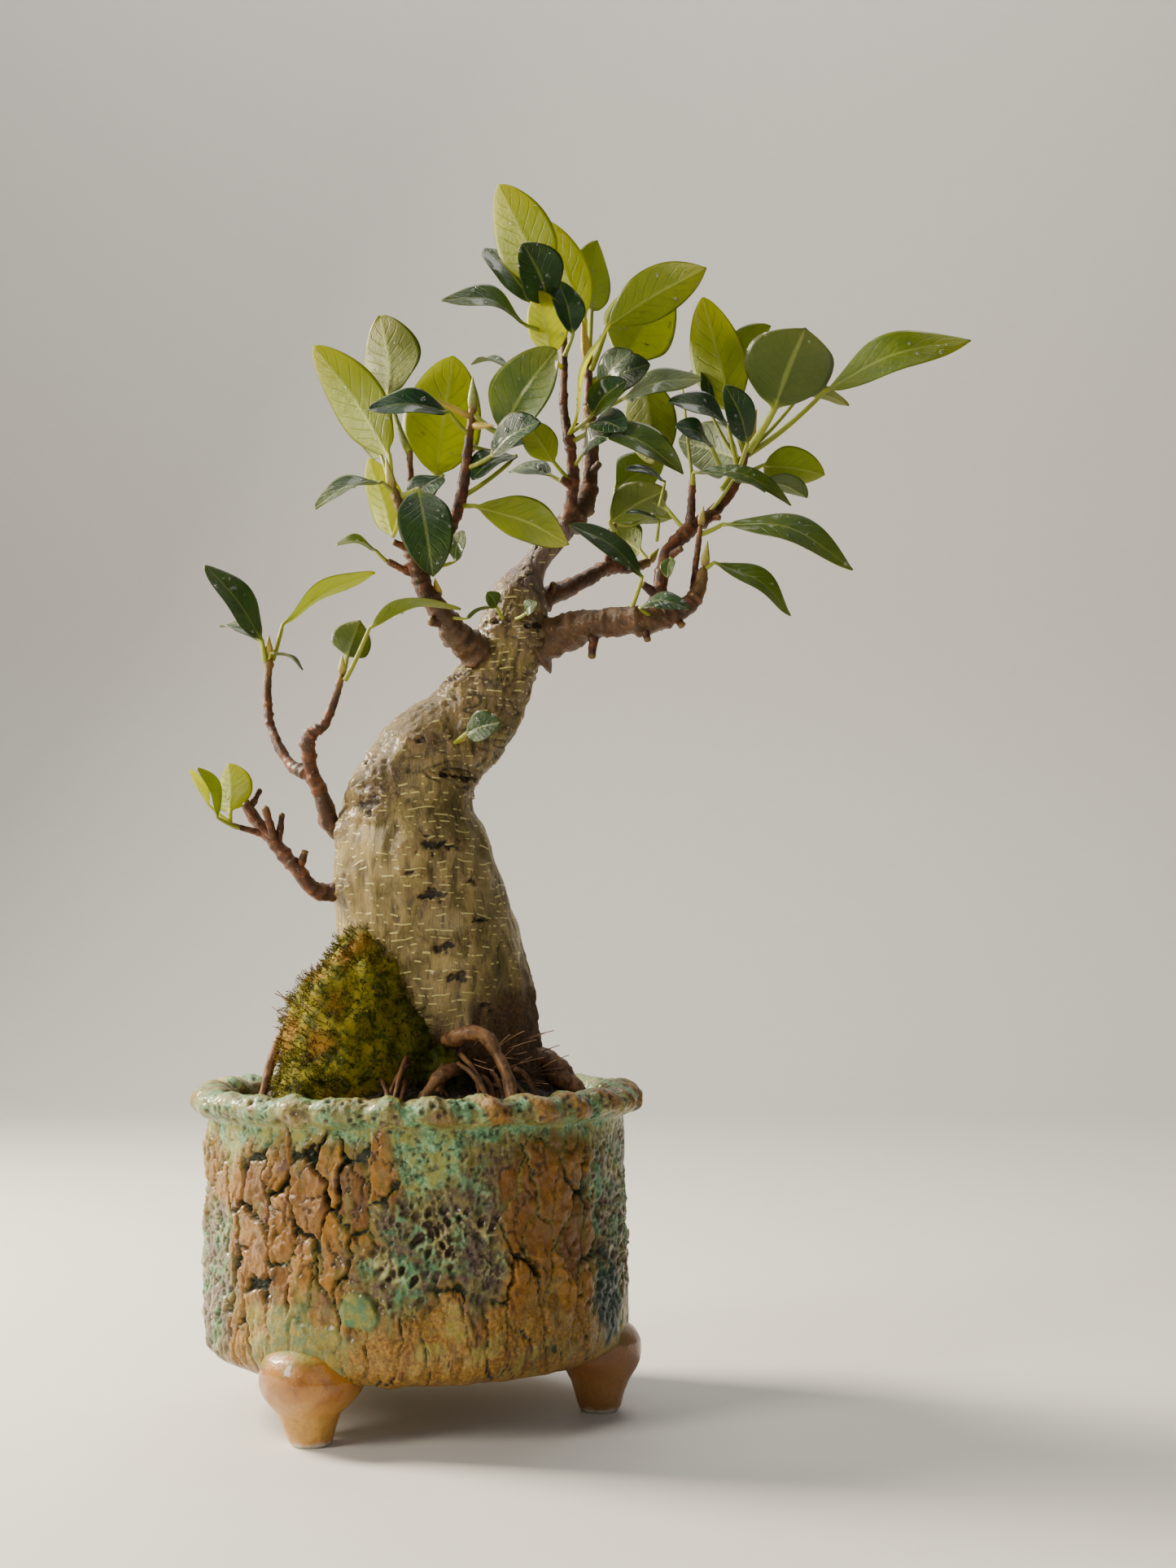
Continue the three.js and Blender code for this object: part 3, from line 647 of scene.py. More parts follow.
def footMaterial():
    material, board = newMaterial("amber_glazed_foot")
    spot = board.objectSpot()
    fine = board.noise(spot, 800, 5, 0.65)
    patch = board.noise(spot, 110, 4, 0.6, 0.5)
    warm, bare, pool, paintedShade = (board.float(n) for n in ("warm", "bare", "pool", "paintedShade"))
    clay = board.mix(fine.step(0.3, 0.7), (0.38, 0.180, 0.026), (0.46, 0.25, 0.050))
    amber = board.mix(patch.step(0.35, 0.7), (0.35, 0.140, 0.005), (0.18, 0.056, 0.003))
    skin = board.mix(warm, clay, amber)
    skin = board.mix(pool * patch.step(0.35, 0.6) * 0.85, skin, (0.20, 0.20, 0.045))
    # painted shade: the right foot darker and browner
    skin = board.mix(paintedShade * 0.6, skin, (0.17, 0.065, 0.022))
    skin = board.mix(bare, skin, (0.60, 0.54, 0.44))
    specks = 1 - board.cells(spot, 700).step(0.08, 0.22)
    skin = board.mix(specks * 0.5, skin, (0.06, 0.03, 0.012))
    shader = principled(board, {
        "Base Color": skin,
        "Roughness": (bare * 0.4 + fine * 0.25 + 0.28 - warm * 0.1).clamp(),
        "Coat Weight": (warm * 0.5 + 0.05).clamp(), "Coat Roughness": 0.08,
        "Normal": board.bump(fine, 0.0005, 0.5),
    })
    outputShader(board, shader)
    return material


finishPiece(buildPotWall(), glazeMaterial(), ["pot"])
finishPiece(buildFeet(), footMaterial())
print("pot done")


# trunk, branches and roots: tapered skins along their routes
def skinAlong(name, stations, steps, sides, shape):
    # shape(share, side angle, point, radius, run) gives the push in millimetres and the marks
    centres, radii, acrosses, others, runs = routeFrames(stations, steps)
    points, marks = [], {}
    for i in range(steps + 1):
        share = i / steps
        tipSize = 1.0
        if share > 0.97:  # a rounded tip
            tipSize = math.sqrt(max(0.05, 1 - ((share - 0.97) / 0.03) ** 2))
        for j in range(sides):
            turn = 2 * math.pi * j / sides
            out = acrosses[i] * math.cos(turn) + others[i] * math.sin(turn)
            spot = centres[i] + out * radii[i]
            push, values = shape(share, turn, spot, radii[i], runs[i])
            spot = centres[i] + out * max(0.15, (radii[i] + push) * tipSize)
            points.append(place(*spot))
            for key, value in values.items():
                marks.setdefault(key, []).append(value)
    faces = cappedFaces(steps + 1, sides)
    piece = meshObject(name, points, faces)
    for key, values in marks.items():
        addFloats(piece, key, values)
    return piece


# old wounds on the trunk's front: x and height over the soil of each, its width and height
scars = [(-14, 92, 5.0, 4.0), (6, 79, 7.0, 2.6), (5, 64, 6.5, 2.4), (9, 48, 5.0, 2.0),
         (14, 39, 5.5, 1.8), (-15, 107, 2.2, 2.0), (13, 101, 6.5, 1.5), (20, 97, 5.0, 1.3),
         (24, 151, 3.0, 2.4), (36, 150, 3.4, 2.2), (11, 132, 6.0, 1.3), (18, 68, 2.2, 1.4),
         (20, 56, 3.0, 1.4), (0, 71, 3.0, 1.2), (24, 30, 3.0, 1.6), (2, 112, 2.6, 2.0)]
# swellings where a branch or a cut leaves: centre, reach, height
knots = [((-21, -10, 85), 9, 2.6), ((-20, -12, 66), 9, 2.6), ((-17, -12, 97), 8, 2.0),
         ((10, -12, 139), 11, 3.4), ((38, -6, 147), 9, 2.6), ((24, -10, 150), 6, 1.8),
         ((26, -8, 163), 7, 2.0), ((16, -14, 117), 5, 1.2), ((-10, -20, 100), 10, 1.6),
         ((22, -9, 156), 5, 1.6), ((40, -2, 158), 6, 1.6), ((36, 12, 134), 9, 1.5)]


def trunkShape(share, turn, spot, radius, run):
    x, y, z = spot
    warp = 2.0 * wander(x / 9, y / 9, z / 12)
    # fine upright wrinkles, and coarser folds
    wrinkle = noise.fractal(Vector(((x + warp) / 1.7, (y + warp) / 1.7, z / 13)), 0.9, 2.2, 3)
    plait = rough((x + warp) / 5.0, (y + warp) / 5.0, z / 22, 3)
    lump = 1.5 * wander(x / 16, y / 16, z / 18, 2.0) + 0.8 * wander(x / 7, y / 7, z / 8, 5.0)
    flare = 2.5 * min(1, max(0, 1 - z / 30)) * math.cos(5 * turn)
    # where the level dashes of the bark lie thick
    lenticel = 0.35 + 0.65 * smooth(-0.25, 0.10, wander(x / 13, y / 13, z / 11, 6.0))
    lenticel *= 1 - 0.75 * smooth(92, 104, z) + 0.5 * smooth(118, 130, z)
    crease = 1 - smooth(0.03, 0.10, abs(wander(x / 9, y / 9, z / 3.4, 12.0)))
    crease *= smooth(92, 100, z) * (0.4 + 0.6 * smooth(0, 0.2, wander(x / 8, y / 8, z / 8, 3.0)))
    scar, lip = 0.0, 0.0
    if y < 4:
        ragged = 0.8 * wander(x / 2.4, y / 2.4, z / 1.6, 4.0)
        ragged += 0.5 * wander(x / 0.9, y / 0.9, z / 0.8)
        for sx, sz, wide, tall in scars:
            away = math.hypot((x - sx + 0.8 * warp) / wide, (z - sz + 0.4 * warp) / tall) + ragged
            scar = max(scar, 1 - smooth(0.25, 0.80, away))
            lip = max(lip, smooth(0.5, 0.85, away) * (1 - smooth(0.95, 1.8, away)))
    bulge, knot = 0.0, 0.0
    for centre, reach, tall in knots:
        away = (Vector(spot) - Vector(centre)).length / reach
        bulge = max(bulge, tall * (1 - smooth(0.1, 1.0, away)))
        if reach > 8:
            knot = max(knot, 1 - smooth(0.45, 1.0, away + 0.3 * wander(x / 3, y / 3, z / 3)))
    rooty = 1 - smooth(4, 32, z + 11 * wander(x / 8, y / 8, z / 9, 8.0) - 0.75 * (x - 6))
    aged = smooth(96, 116, z + 4 * wander(x / 8, y / 8, z / 8, 9.0)) * (1 - smooth(158, 166, z))
    push = flare + 0.75 * lump + bulge + 0.20 * wrinkle + 0.45 * plait
    push += 0.8 * lip + knot * rough(x / 2.2, y / 2.2, z / 2.2, 3)
    push -= 0.45 * crease + scar * (0.9 + 0.5 * rough(x / 1.2, y / 1.2, z / 1.2, 2))
    gnarl = 1.1 * rough(x / 3.5, y / 3.5, z / 6, 4) + 0.7 * rough(x / 1.6, y / 1.6, z / 2, 2)
    push += rooty * gnarl
    push += aged * 0.35 * rough(x / 1.6, y / 1.6, z / 2.6, 3)
    marks = {"wrinkle": 0.5 + 0.5 * wrinkle, "lenticel": lenticel, "crease": crease,
             "scar": scar, "rooty": rooty, "lip": lip, "aged": aged, "knot": knot,
             "young": smooth(152, 166, z), "plait": 0.5 + 0.5 * plait}
    return push, marks


# stations are x, y, height over the soil and radius; each limb is one or more prongs
trunkRoute = [
    (9, 4, -16, 31), (8, 4, 6, 31), (5, 2, 38, 30), (1, 0, 58, 27.5), (-2, -3, 78, 24.5),
    (-2, -3, 94, 20), (3, -2, 107, 17.5), (14, 0, 118, 14.2), (22, 1, 129, 12.6),
    (29, 3, 148, 11.2), (32, 4, 161, 9), (36, 5, 171, 5), (42, 7, 180, 4.3), (49, 8, 188, 4),
]

limbs = [
    ("branch_low_left", [
        [
            (-16, -5, 66, 2.8), (-30, -13, 65, 2.6), (-36, -15, 71, 2.3), (-43, -14, 79, 2.2),
            (-51, -10, 88, 2), (-55, -8, 94, 1.5),
        ],
        [(-47, -12, 83, 1.1), (-58, -16, 86, 0.9)],
        [(-53, -9, 91, 1.2), (-50, -6, 98, 0.9)],
        [(-43, -14, 79, 1.1), (-42, -13, 90, 0.9)],
    ]),
    ("branch_forked", [
        [
            (-12, -3, 79, 3.4), (-26, -6, 85, 3.3), (-30, -9, 95, 2.6), (-34, -9, 102, 2.3),
            (-41, -3, 106, 1.8), (-48, 3, 118, 1.5), (-50, 6, 130, 1.4), (-50, 9, 142, 1.4),
        ],
        [(-33, -9, 101, 2.1), (-34, -14, 113, 2.2), (-28, -15, 119, 1.5), (-23, -18, 133, 1.2)],
    ]),
    ("branch_upper_left", [
        [
            (24, -1, 138, 5.4), (15, -10, 144, 5), (9, -15, 151, 3.8), (3, -19, 159, 3.1),
            (-1, -21, 170, 2.4), (-3, -23, 180, 1.8), (-7, -25, 191, 1.3),
        ],
        [(0, -20, 164, 1.4), (-9, -23, 168, 1)],
        [(-1, -21, 171, 1.5), (-2, -15, 188, 1.3), (-3, -10, 206, 0.9)],
    ]),
    ("branch_upright", [
        [
            (1, -20, 163, 2), (8, -16, 174, 1.9), (13, -12, 188, 1.9), (15, -10, 201, 1.7),
            (17, -8, 222, 1),
        ],
    ]),
    ("branch_right", [
        [
            (28, 3, 142, 7), (40, 0, 146, 6.8), (52, -5, 150, 5.2), (61, -8, 151, 4.3),
            (71, -10, 151, 4.6), (80, -10, 153, 3.5), (88, -9, 159, 2.6), (91, -8, 169, 1.4),
        ],
        [(87, -9, 159, 1.1), (90, -4, 183, 0.8)],
    ]),
    ("branch_riser", [
        [
            (74, -10, 150, 2.8), (77, -8, 163, 2.2), (79, -4, 173, 2.2), (86, 2, 182, 2.5),
            (94, 8, 189, 2), (102, 14, 199, 1.7), (107, 18, 213, 1.2),
        ],
        [(87, 3, 183, 1.8), (88, 5, 201, 0.9)],
    ]),
    ("branch_back_right", [
        [
            (30, 3, 157, 3.6), (41, 10, 162, 3.2), (53, 18, 169, 2.7), (60, 24, 174, 2.3),
            (68, 30, 175, 1.8), (75, 35, 178, 1.3),
        ],
        [(60, 24, 174, 1.6), (63, 26, 190, 1)],
    ]),
    ("stem_back", [
        [
            (48, 8, 185, 3.4), (53, 12, 194, 3.4), (54, 15, 202, 2.8), (55, 15, 214, 2.5),
            (54, 12, 228, 1.8),
        ],
        [(54, 12, 226, 1.6), (54, 13, 241, 1.2)],
    ]),
    ("stem_leader", [
        [
            (47, 7, 185, 2.3), (49, 2, 198, 2), (48, 0, 211, 1.8), (46, 2, 222, 1.4),
            (46, 4, 238, 1.2), (46, 5, 252, 0.9),
        ],
    ]),
]

# a root's stations are degrees, how far from the trunk's face to the wall, height and radius
roots = [
    ("root_arched", [
        [
            (-66, -0.95, 12, 2.6), (-63, -0.4, 18, 2.4), (-67, 0.18, 21, 2), (-59, 0.44, 22, 1.8),
            (-55, 0.62, 16, 1.6), (-54, 0.84, 7, 1.5), (-53, 1, -5, 1.3),
        ],
    ]),
    ("root_front", [
        [(-53, -0.24, 10, 2.2), (-70, 0.25, 11, 1.8), (-79, 0.43, 8, 1.5), (-89, 0.6, -5, 1.2)],
    ]),
    ("root_left", [
        [(-169, -0.83, 24, 1.6), (-167, 0.16, 29, 1.4), (-166, 0.53, 18, 1.3),
         (-165, 0.79, -5, 1.1)],
    ]),
    ("root_right", [
        [(4, -0.12, 16, 4.5), (1, 0.44, 10, 3.4), (-1, 0.76, 2, 2.4), (-2, 0.92, -6, 1.6)],
    ]),
    ("root_back", [
        [(80, -0.27, 14, 4.2), (90, 0.28, 9, 3), (94, 0.6, 2, 2.2), (96, 0.81, -6, 1.6)],
    ]),
]


def branchShape(seed):
    # knobbly twig bark with leaf-scar rings
    def shape(share, turn, spot, radius, run):
        x, y, z = spot
        step = 3.0 + 1.6 * (radius / 5)
        spacing = (run + 1.2 * wander(run / 9, seed, 0.0)) / step
        ringAway = abs(spacing - round(spacing))
        strength = 0.4 + 0.6 * noise.cell(Vector((round(spacing), seed, 1)))
        ring = (1 - smooth(0.08, 0.26, ringAway)) * strength
        bud = max(0.0, math.cos(turn - 2.4 * round(spacing) + seed)) ** 6
        lump = wander(x / 4.5, y / 4.5, z / 4.5, seed)
        grain = rough(x / 1.6, y / 1.6, z / 1.6, 3)
        old = smooth(1.6, 4.6, radius)
        tip = smooth(0.80, 1.0, share)
        push = radius * (0.16 * ring + 0.30 * ring * bud * (1 - tip) + 0.24 * lump)
        push += 0.18 * grain + 0.30 * old * grain
        push += radius * 0.10 * (1 - smooth(0.0, 0.07, share))
        marks = {"ring": ring, "old": old, "tip": tip, "grain": 0.5 + 0.5 * grain}
        return push, marks
    return shape


def rootPoint(degrees, share, z, radius):
    reach = lerp(31, 56, share)
    turn = math.radians(degrees)
    return (reach * math.cos(turn), reach * math.sin(turn), z, radius)


# cut stubs and short knobs where twigs were pruned: start, end and radius
stubs = [((-44, -14, 80), (-47, -17, 92), 1.4), ((-51, -10, 88), (-54, -14, 93), 1.2),
         ((-36, -15, 72), (-34, -18, 78), 1.3), ((9, -15, 150), (4, -19, 150), 2.2),
         ((56, -6, 149), (55, -9, 139), 1.6), ((71, -10, 150), (73, -13, 144), 1.5),
         ((80, -9, 154), (84, -12, 149), 1.4), ((75, -9, 160), (71, -11, 163), 1.5),
         ((79, -4, 172), (84, -8, 175), 1.4), ((-2, -21, 172), (-7, -24, 174), 1.3),
         ((0, -20, 164), (5, -22, 166), 1.2), ((49, 2, 196), (45, -1, 199), 1.3),
         ((54, 15, 203), (58, 12, 207), 1.4), ((47, 2, 214), (51, 0, 217), 1.0),
         ((41, 10, 162), (43, 6, 166), 1.4), ((93, 8, 188), (97, 5, 187), 1.2)]


def buildTrunk():
    return skinAlong("trunk_bark", trunkRoute, 380, 190, trunkShape)


def buildBranches():
    parts = []
    for number, (name, prongs) in enumerate(limbs):
        for twig, stations in enumerate(prongs):
            length = sum((Vector(b[:3]) - Vector(a[:3])).length
                         for a, b in zip(stations, stations[1:]))
            steps = max(14, int(length / 0.55))
            sides = 34 if stations[0][3] > 4.5 else 24 if twig == 0 else 16
            shape = branchShape(number * 3.1 + twig)
            parts.append(skinAlong(f"{name}_{twig}", stations, steps, sides, shape))
    for number, (start, end, thick) in enumerate(stubs):
        stations = [(*start, thick), (*(0.5 * (Vector(start) + Vector(end))), thick * 0.9),
                    (*end, thick * 0.75)]
        parts.append(skinAlong(f"stub_{number}", stations, 16, 14, branchShape(40 + number)))
    return joinMeshes("branches_bark", parts)


def rootShape(seed):
    def shape(share, turn, spot, radius, run):
        x, y, z = spot
        lump = wander(x / 5, y / 5, z / 5, seed)
        grain = rough(x / 1.4, y / 1.4, z / 1.4, 3)
        push = radius * (0.20 + 0.55 * lump) + (0.10 + 0.22 * min(1, radius - 0.6)) * grain
        return push, {"ring": 0.0, "old": 0.6, "tip": 0.0, "grain": 0.5 + 0.5 * grain}
    return shape


def buildRoots():
    parts = []
    for number, (name, prongs) in enumerate(roots):
        for stations in prongs:
            route = [rootPoint(*row) for row in stations]
            parts.append(skinAlong(name, route, 60, 20, rootShape(number * 2.3)))
    # thin red rootlets over the soil in front, and a thick one round the left of the moss
    chance = random.Random(5)
    for number in range(18):
        turn = math.radians(chance.uniform(-120, -35))
        near, far = chance.uniform(30, 40), chance.uniform(42, 55)
        swing = chance.uniform(-0.25, 0.25)
        top = chance.uniform(4, 15)
        route = []
        for i, share in enumerate((0, 0.35, 0.7, 1)):
            reach = lerp(near, far, share)
            level = top * (1 - share) ** 1.2 + (2.5 if i == 1 else 0) - 3 * share
            ang = turn + swing * share
            route.append((reach * math.cos(ang), reach * math.sin(ang), level + 1,
                          0.75 - 0.35 * share))
        parts.append(skinAlong(f"rootlet_{number}", route, 16, 7, rootShape(number)))
    return joinMeshes("roots_bark", parts)


barkColours = {
    "grey": (0.235, 0.170, 0.055), "olive": (0.105, 0.078, 0.014), "tan": (0.38, 0.275, 0.080),
    "dark": (0.020, 0.013, 0.006), "pale": (0.66, 0.58, 0.20), "violet": (0.17, 0.105, 0.105),
    "root": (0.050, 0.024, 0.011), "brown": (0.15, 0.080, 0.028),
}


def trunkMaterial():
    material, board = newMaterial("wrinkled_grey_bark")
    spot = board.objectSpot()
    c = barkColours
    names = ("wrinkle", "lenticel", "crease", "scar", "rooty", "lip", "aged", "young", "plait",
             "knot")
    wrinkle, thick, crease, scar, rooty, lip, aged, young, plait, knot = (
        board.float(name) for name in names)
    fibre = board.noise(board.stretch(spot, (1, 1, 0.2)), 1700, 5, 0.7)
    patch = board.noise(spot, 80, 4, 0.65, 0.6)
    fine = board.noise(spot, 1100, 4, 0.7)
    # lenticels: short level dashes, row over row
    axes = board.add("ShaderNodeSeparateXYZ", None, {0: spot})
    row = axes.out("Z") * 420 + board.noise(spot, 60, 2) * 2.6
    number = row.sum("FLOOR", row)
    offRow = row - number - 0.5
    offRow = offRow.sum("ABSOLUTE", offRow)
    values = {0: axes.out("X"), 1: axes.out("Y"), 2: number * 0.31}
    dash = board.noise(board.add("ShaderNodeCombineXYZ", None, values).out(0), 430, 2, 0.3)
    dash = (dash + thick * 0.12).step(0.62, 0.66) * (1 - offRow.step(0.05, 0.16))
    dash = dash * (1 - rooty) * (1 - scar)
    skin = board.mix(patch.step(0.38, 0.62), c["olive"], c["grey"])
    skin = board.mix(plait.step(0.48, 0.75) * 0.5, skin, c["tan"])
    skin = board.mix(aged * patch.step(0.40, 0.60) * 0.6, skin, c["brown"])
    skin = board.mix(young * 0.85, skin, board.mix(patch.step(0.42, 0.58), c["brown"], c["violet"]))
    # darker in the wrinkles' hollows: painted shade
    skin = board.mix((1 - wrinkle.step(0.22, 0.46)) * 0.6, skin, c["dark"])
    skin = board.mix(fibre.step(0.52, 0.70) * 0.5, skin, c["tan"])
    skin = board.mix((1 - fibre.step(0.32, 0.46)) * 0.6, skin, c["dark"])
    skin = board.mix(lip * fine.step(0.3, 0.6) * 0.6, skin, c["brown"])
    skin = board.mix(knot * fine.step(0.35, 0.6) * 0.75, skin, c["root"])
    # near black along the creases: painted shade
    skin = board.mix(crease * 0.75, skin, c["dark"])
    skin = board.mix(dash * 0.85, skin, c["pale"])
    clods = board.mix(fine.step(0.42, 0.62), c["root"], c["brown"])
    clods = board.mix(patch.step(0.50, 0.62) * 0.5, clods, c["dark"])
    skin = board.mix(rooty.step(0.15, 0.75) * 0.92, skin, clods)
    skin = board.mix(scar.step(0.15, 0.6) * fine.step(0.2, 0.5) * 0.95, skin, c["dark"])
    height = fibre * 0.7 + fine * (rooty * 1.5 + 0.3) + dash * 0.5
    shader = principled(board, {
        "Base Color": skin,
        "Roughness": (fine * 0.3 + rooty * 0.25 - young * 0.12 + 0.36).clamp(),
        "Coat Weight": ((1 - rooty) * patch.step(0.35, 0.6) * 0.35).clamp(),
        "Coat Roughness": 0.16, "Specular IOR Level": 0.35,
        "Normal": board.bump(height, 0.0010, 0.8),
    })
    outputShader(board, shader)
    return material


def twigMaterial(name, light, dark, dry):
    material, board = newMaterial(name)
    spot = board.objectSpot()
    ring, old, tip, grain = (board.float(n) for n in ("ring", "old", "tip", "grain"))
    fine = board.noise(spot, 1300, 5, 0.7)
    patch = board.noise(spot, 210, 4, 0.6, 0.4)
    skin = board.mix(patch.step(0.38, 0.66), dark, light)
    skin = board.mix(old * 0.7, skin, dry)
    skin = board.mix(ring * 0.2, skin, (0.15, 0.075, 0.025))
    flecks = 1 - board.cells(spot, 700).step(0.08, 0.17)
    skin = board.mix(flecks * 0.55, skin, (0.46, 0.31, 0.11))
    skin = board.mix((1 - grain.step(0.25, 0.5)) * 0.6, skin, (0.035, 0.018, 0.011))
    skin = board.mix(tip * 0.55, skin, (0.22, 0.15, 0.035))
    shader = principled(board, {
        "Base Color": skin, "Roughness": (fine * 0.3 + 0.40).clamp(),
        "Coat Weight": (patch * 0.25).clamp(), "Coat Roughness": 0.15,
        "Specular IOR Level": 0.3,
        "Normal": board.bump(fine, 0.0006, 0.6),
    })
    outputShader(board, shader)
    return material


finishPiece(buildTrunk(), trunkMaterial(), ["trunk"])
twigBark = twigMaterial("red_brown_twig_bark", (0.155, 0.044, 0.009), (0.042, 0.014, 0.005),
                        (0.080, 0.046, 0.016))
finishPiece(buildBranches(), twigBark, [name for name, prongs in limbs])
rootBark = twigMaterial("wet_brown_root", (0.30, 0.135, 0.045), (0.10, 0.042, 0.016),
                        (0.16, 0.085, 0.032))
finishPiece(buildRoots(), rootBark, [name for name, prongs in roots])
print("trunk, branches and roots done")


# each leaf: name, where its stalk leaves the stem, the blade's base and tip, width, tilt of the
# upper face (0 up, 90 to the front, -90 to the back), arch, and how young and yellow it is,
# with painted backlight glow in the same number
leaves = [
    ("leaf_low_round", (-58, -16, 86), (-58, -15, 90), (-60, -7, 106), 14, -75, 1, 0.85),
    ("leaf_low_narrow", (-55, -15, 85), (-61, -21, 88), (-66, -28, 103), 8, 20, 2, 0.5),
    ("leaf_fork_dark", (-51, 8, 140), (-52, 7, 147), (-69, -4, 170), 14, 45, 2, 0.12),
    ("leaf_fork_bright", (-49, 10, 141), (-46, 11, 153), (-17, 22, 172), 13, -12, 3, 0.6),
    ("leaf_knob_round", (-23, -17, 132), (-22, -14, 139), (-19, -5, 152), 13, -70, 1, 0.3),
    ("leaf_knob_long", (-22, -19, 131), (-14, -23, 147), (15, -35, 151), 12, -10, 4, 0.4),
    ("leaf_left_tall", (-7, -25, 190), (-9, -15, 203), (-35, -2, 242), 19, -65, 3, 0.75),
    ("leaf_left_rear", (-3, -10, 205), (-11, 2, 226), (-15, 15, 257), 23, -70, 3, 0.42),
    ("leaf_left_broad", (-2, -15, 188), (5, -6, 198), (10, 3, 240), 26, -80, 3, 0.65),
    ("leaf_left_dark", (16, -9, 211), (10, -15, 217), (-15, -22, 216), 12, 58, 3, 0.0),
    ("leaf_upright_wide", (17, -8, 218), (26, -10, 211), (44, -20, 236), 21, 75, 3, 0.4),
    ("leaf_upright_small", (15, -10, 208), (25, -3, 207), (38, 7, 217), 12, 58, 2, 0.0),
    ("leaf_leader_round", (49, 2, 198), (43, -1, 204), (34, -9, 215), 11, -70, 1, 0.6),
    ("leaf_cross", (13, -12, 188), (18, -15, 187), (48, -24, 173), 15, -55, 4, 0.6),
    ("leaf_left_glow", (-4, -24, 184), (-7, -21, 176), (-16, -11, 203), 12, -75, 2, 1.0),
    ("leaf_left_edge", (-6, -25, 189), (-10, -27, 192), (-29, -40, 181), 11, 42, 3, 0.15),
    ("leaf_left_front", (-5, -24, 188), (1, -27, 190), (7, -41, 160), 17, 80, 3, 0.12),
    ("leaf_apex", (46, 5, 251), (40, 6, 264), (24, 16, 302), 21, -75, 2, 0.85),
    ("leaf_apex_dark", (46, 5, 250), (41, 0, 257), (33, -14, 272), 18, 70, 2, 0.08),
    ("leaf_apex_rear", (46, 5, 249), (36, 13, 260), (19, 24, 283), 14, 68, 2, 0.1),
    ("leaf_apex_flat", (46, 5, 248), (34, -1, 249), (7, -12, 254), 13, 42, 5, 0.2),
    ("leaf_yellow", (53, 12, 240), (53, 10, 254), (38, 21, 292), 16, -70, 2, 0.95),
    ("leaf_mottled", (54, 14, 240), (55, 21, 260), (57, 34, 289), 16, -65, 2, 0.45),
    ("leaf_crown_right", (55, 12, 238), (60, 4, 250), (92, -8, 266), 17, -60, 4, 0.55),
    ("leaf_crown_round", (55, 13, 234), (66, 19, 243), (80, 33, 276), 25, -78, 2, 0.55),
    ("leaf_blade_edge", (47, 0, 212), (50, -5, 217), (61, -14, 246), 10, 5, 3, 1.0),
    ("leaf_olive_flat", (54, 14, 224), (65, 12, 228), (91, 2, 232), 13, 50, 3, 0.3),
    ("leaf_hanging", (54, 14, 222), (72, 23, 241), (76, 14, 207), 18, -80, 3, 0.5),
    ("leaf_mid_flat", (48, 0, 211), (54, -5, 213), (84, -16, 197), 14, 52, 5, 0.3),
    ("leaf_right_tall", (106, 17, 211), (102, 19, 225), (93, 31, 268), 19, -80, 2, 0.7),
    ("leaf_right_round", (107, 17, 212), (115, 10, 224), (123, -16, 244), 29, -76, 2, 0.16),
    ("leaf_right_long", (107, 19, 211), (133, 21, 233), (180, 9, 247), 17, 62, 6, 0.6),
    ("leaf_right_dark", (104, 16, 204), (100, 10, 219), (80, 0, 224), 13, 52, 3, 0.08),
    ("leaf_right_olive", (104, 15, 204), (112, 21, 208), (134, 31, 207), 14, -55, 2, 0.45),
    ("leaf_right_arched", (88, 4, 198), (88, 0, 201), (118, -16, 187), 11, 45, 5, 0.3),
    ("leaf_right_droop", (90, -4, 180), (97, -5, 183), (137, -19, 166), 14, 48, 7, 0.35),
    ("leaf_right_low", (91, -8, 168), (94, -9, 170), (119, -2, 154), 11, 48, 4, 0.38),
    ("leaf_inner_upper", (63, 26, 188), (63, 23, 201), (80, 38, 213), 15, -60, 2, 0.3),
    ("leaf_inner_wide", (63, 26, 187), (61, 16, 188), (79, 4, 196), 15, -55, 2, 0.35),
    ("leaf_inner_front", (66, -9, 151), (71, -16, 164), (48, -24, 179), 13, 45, 3, 0.1),
]
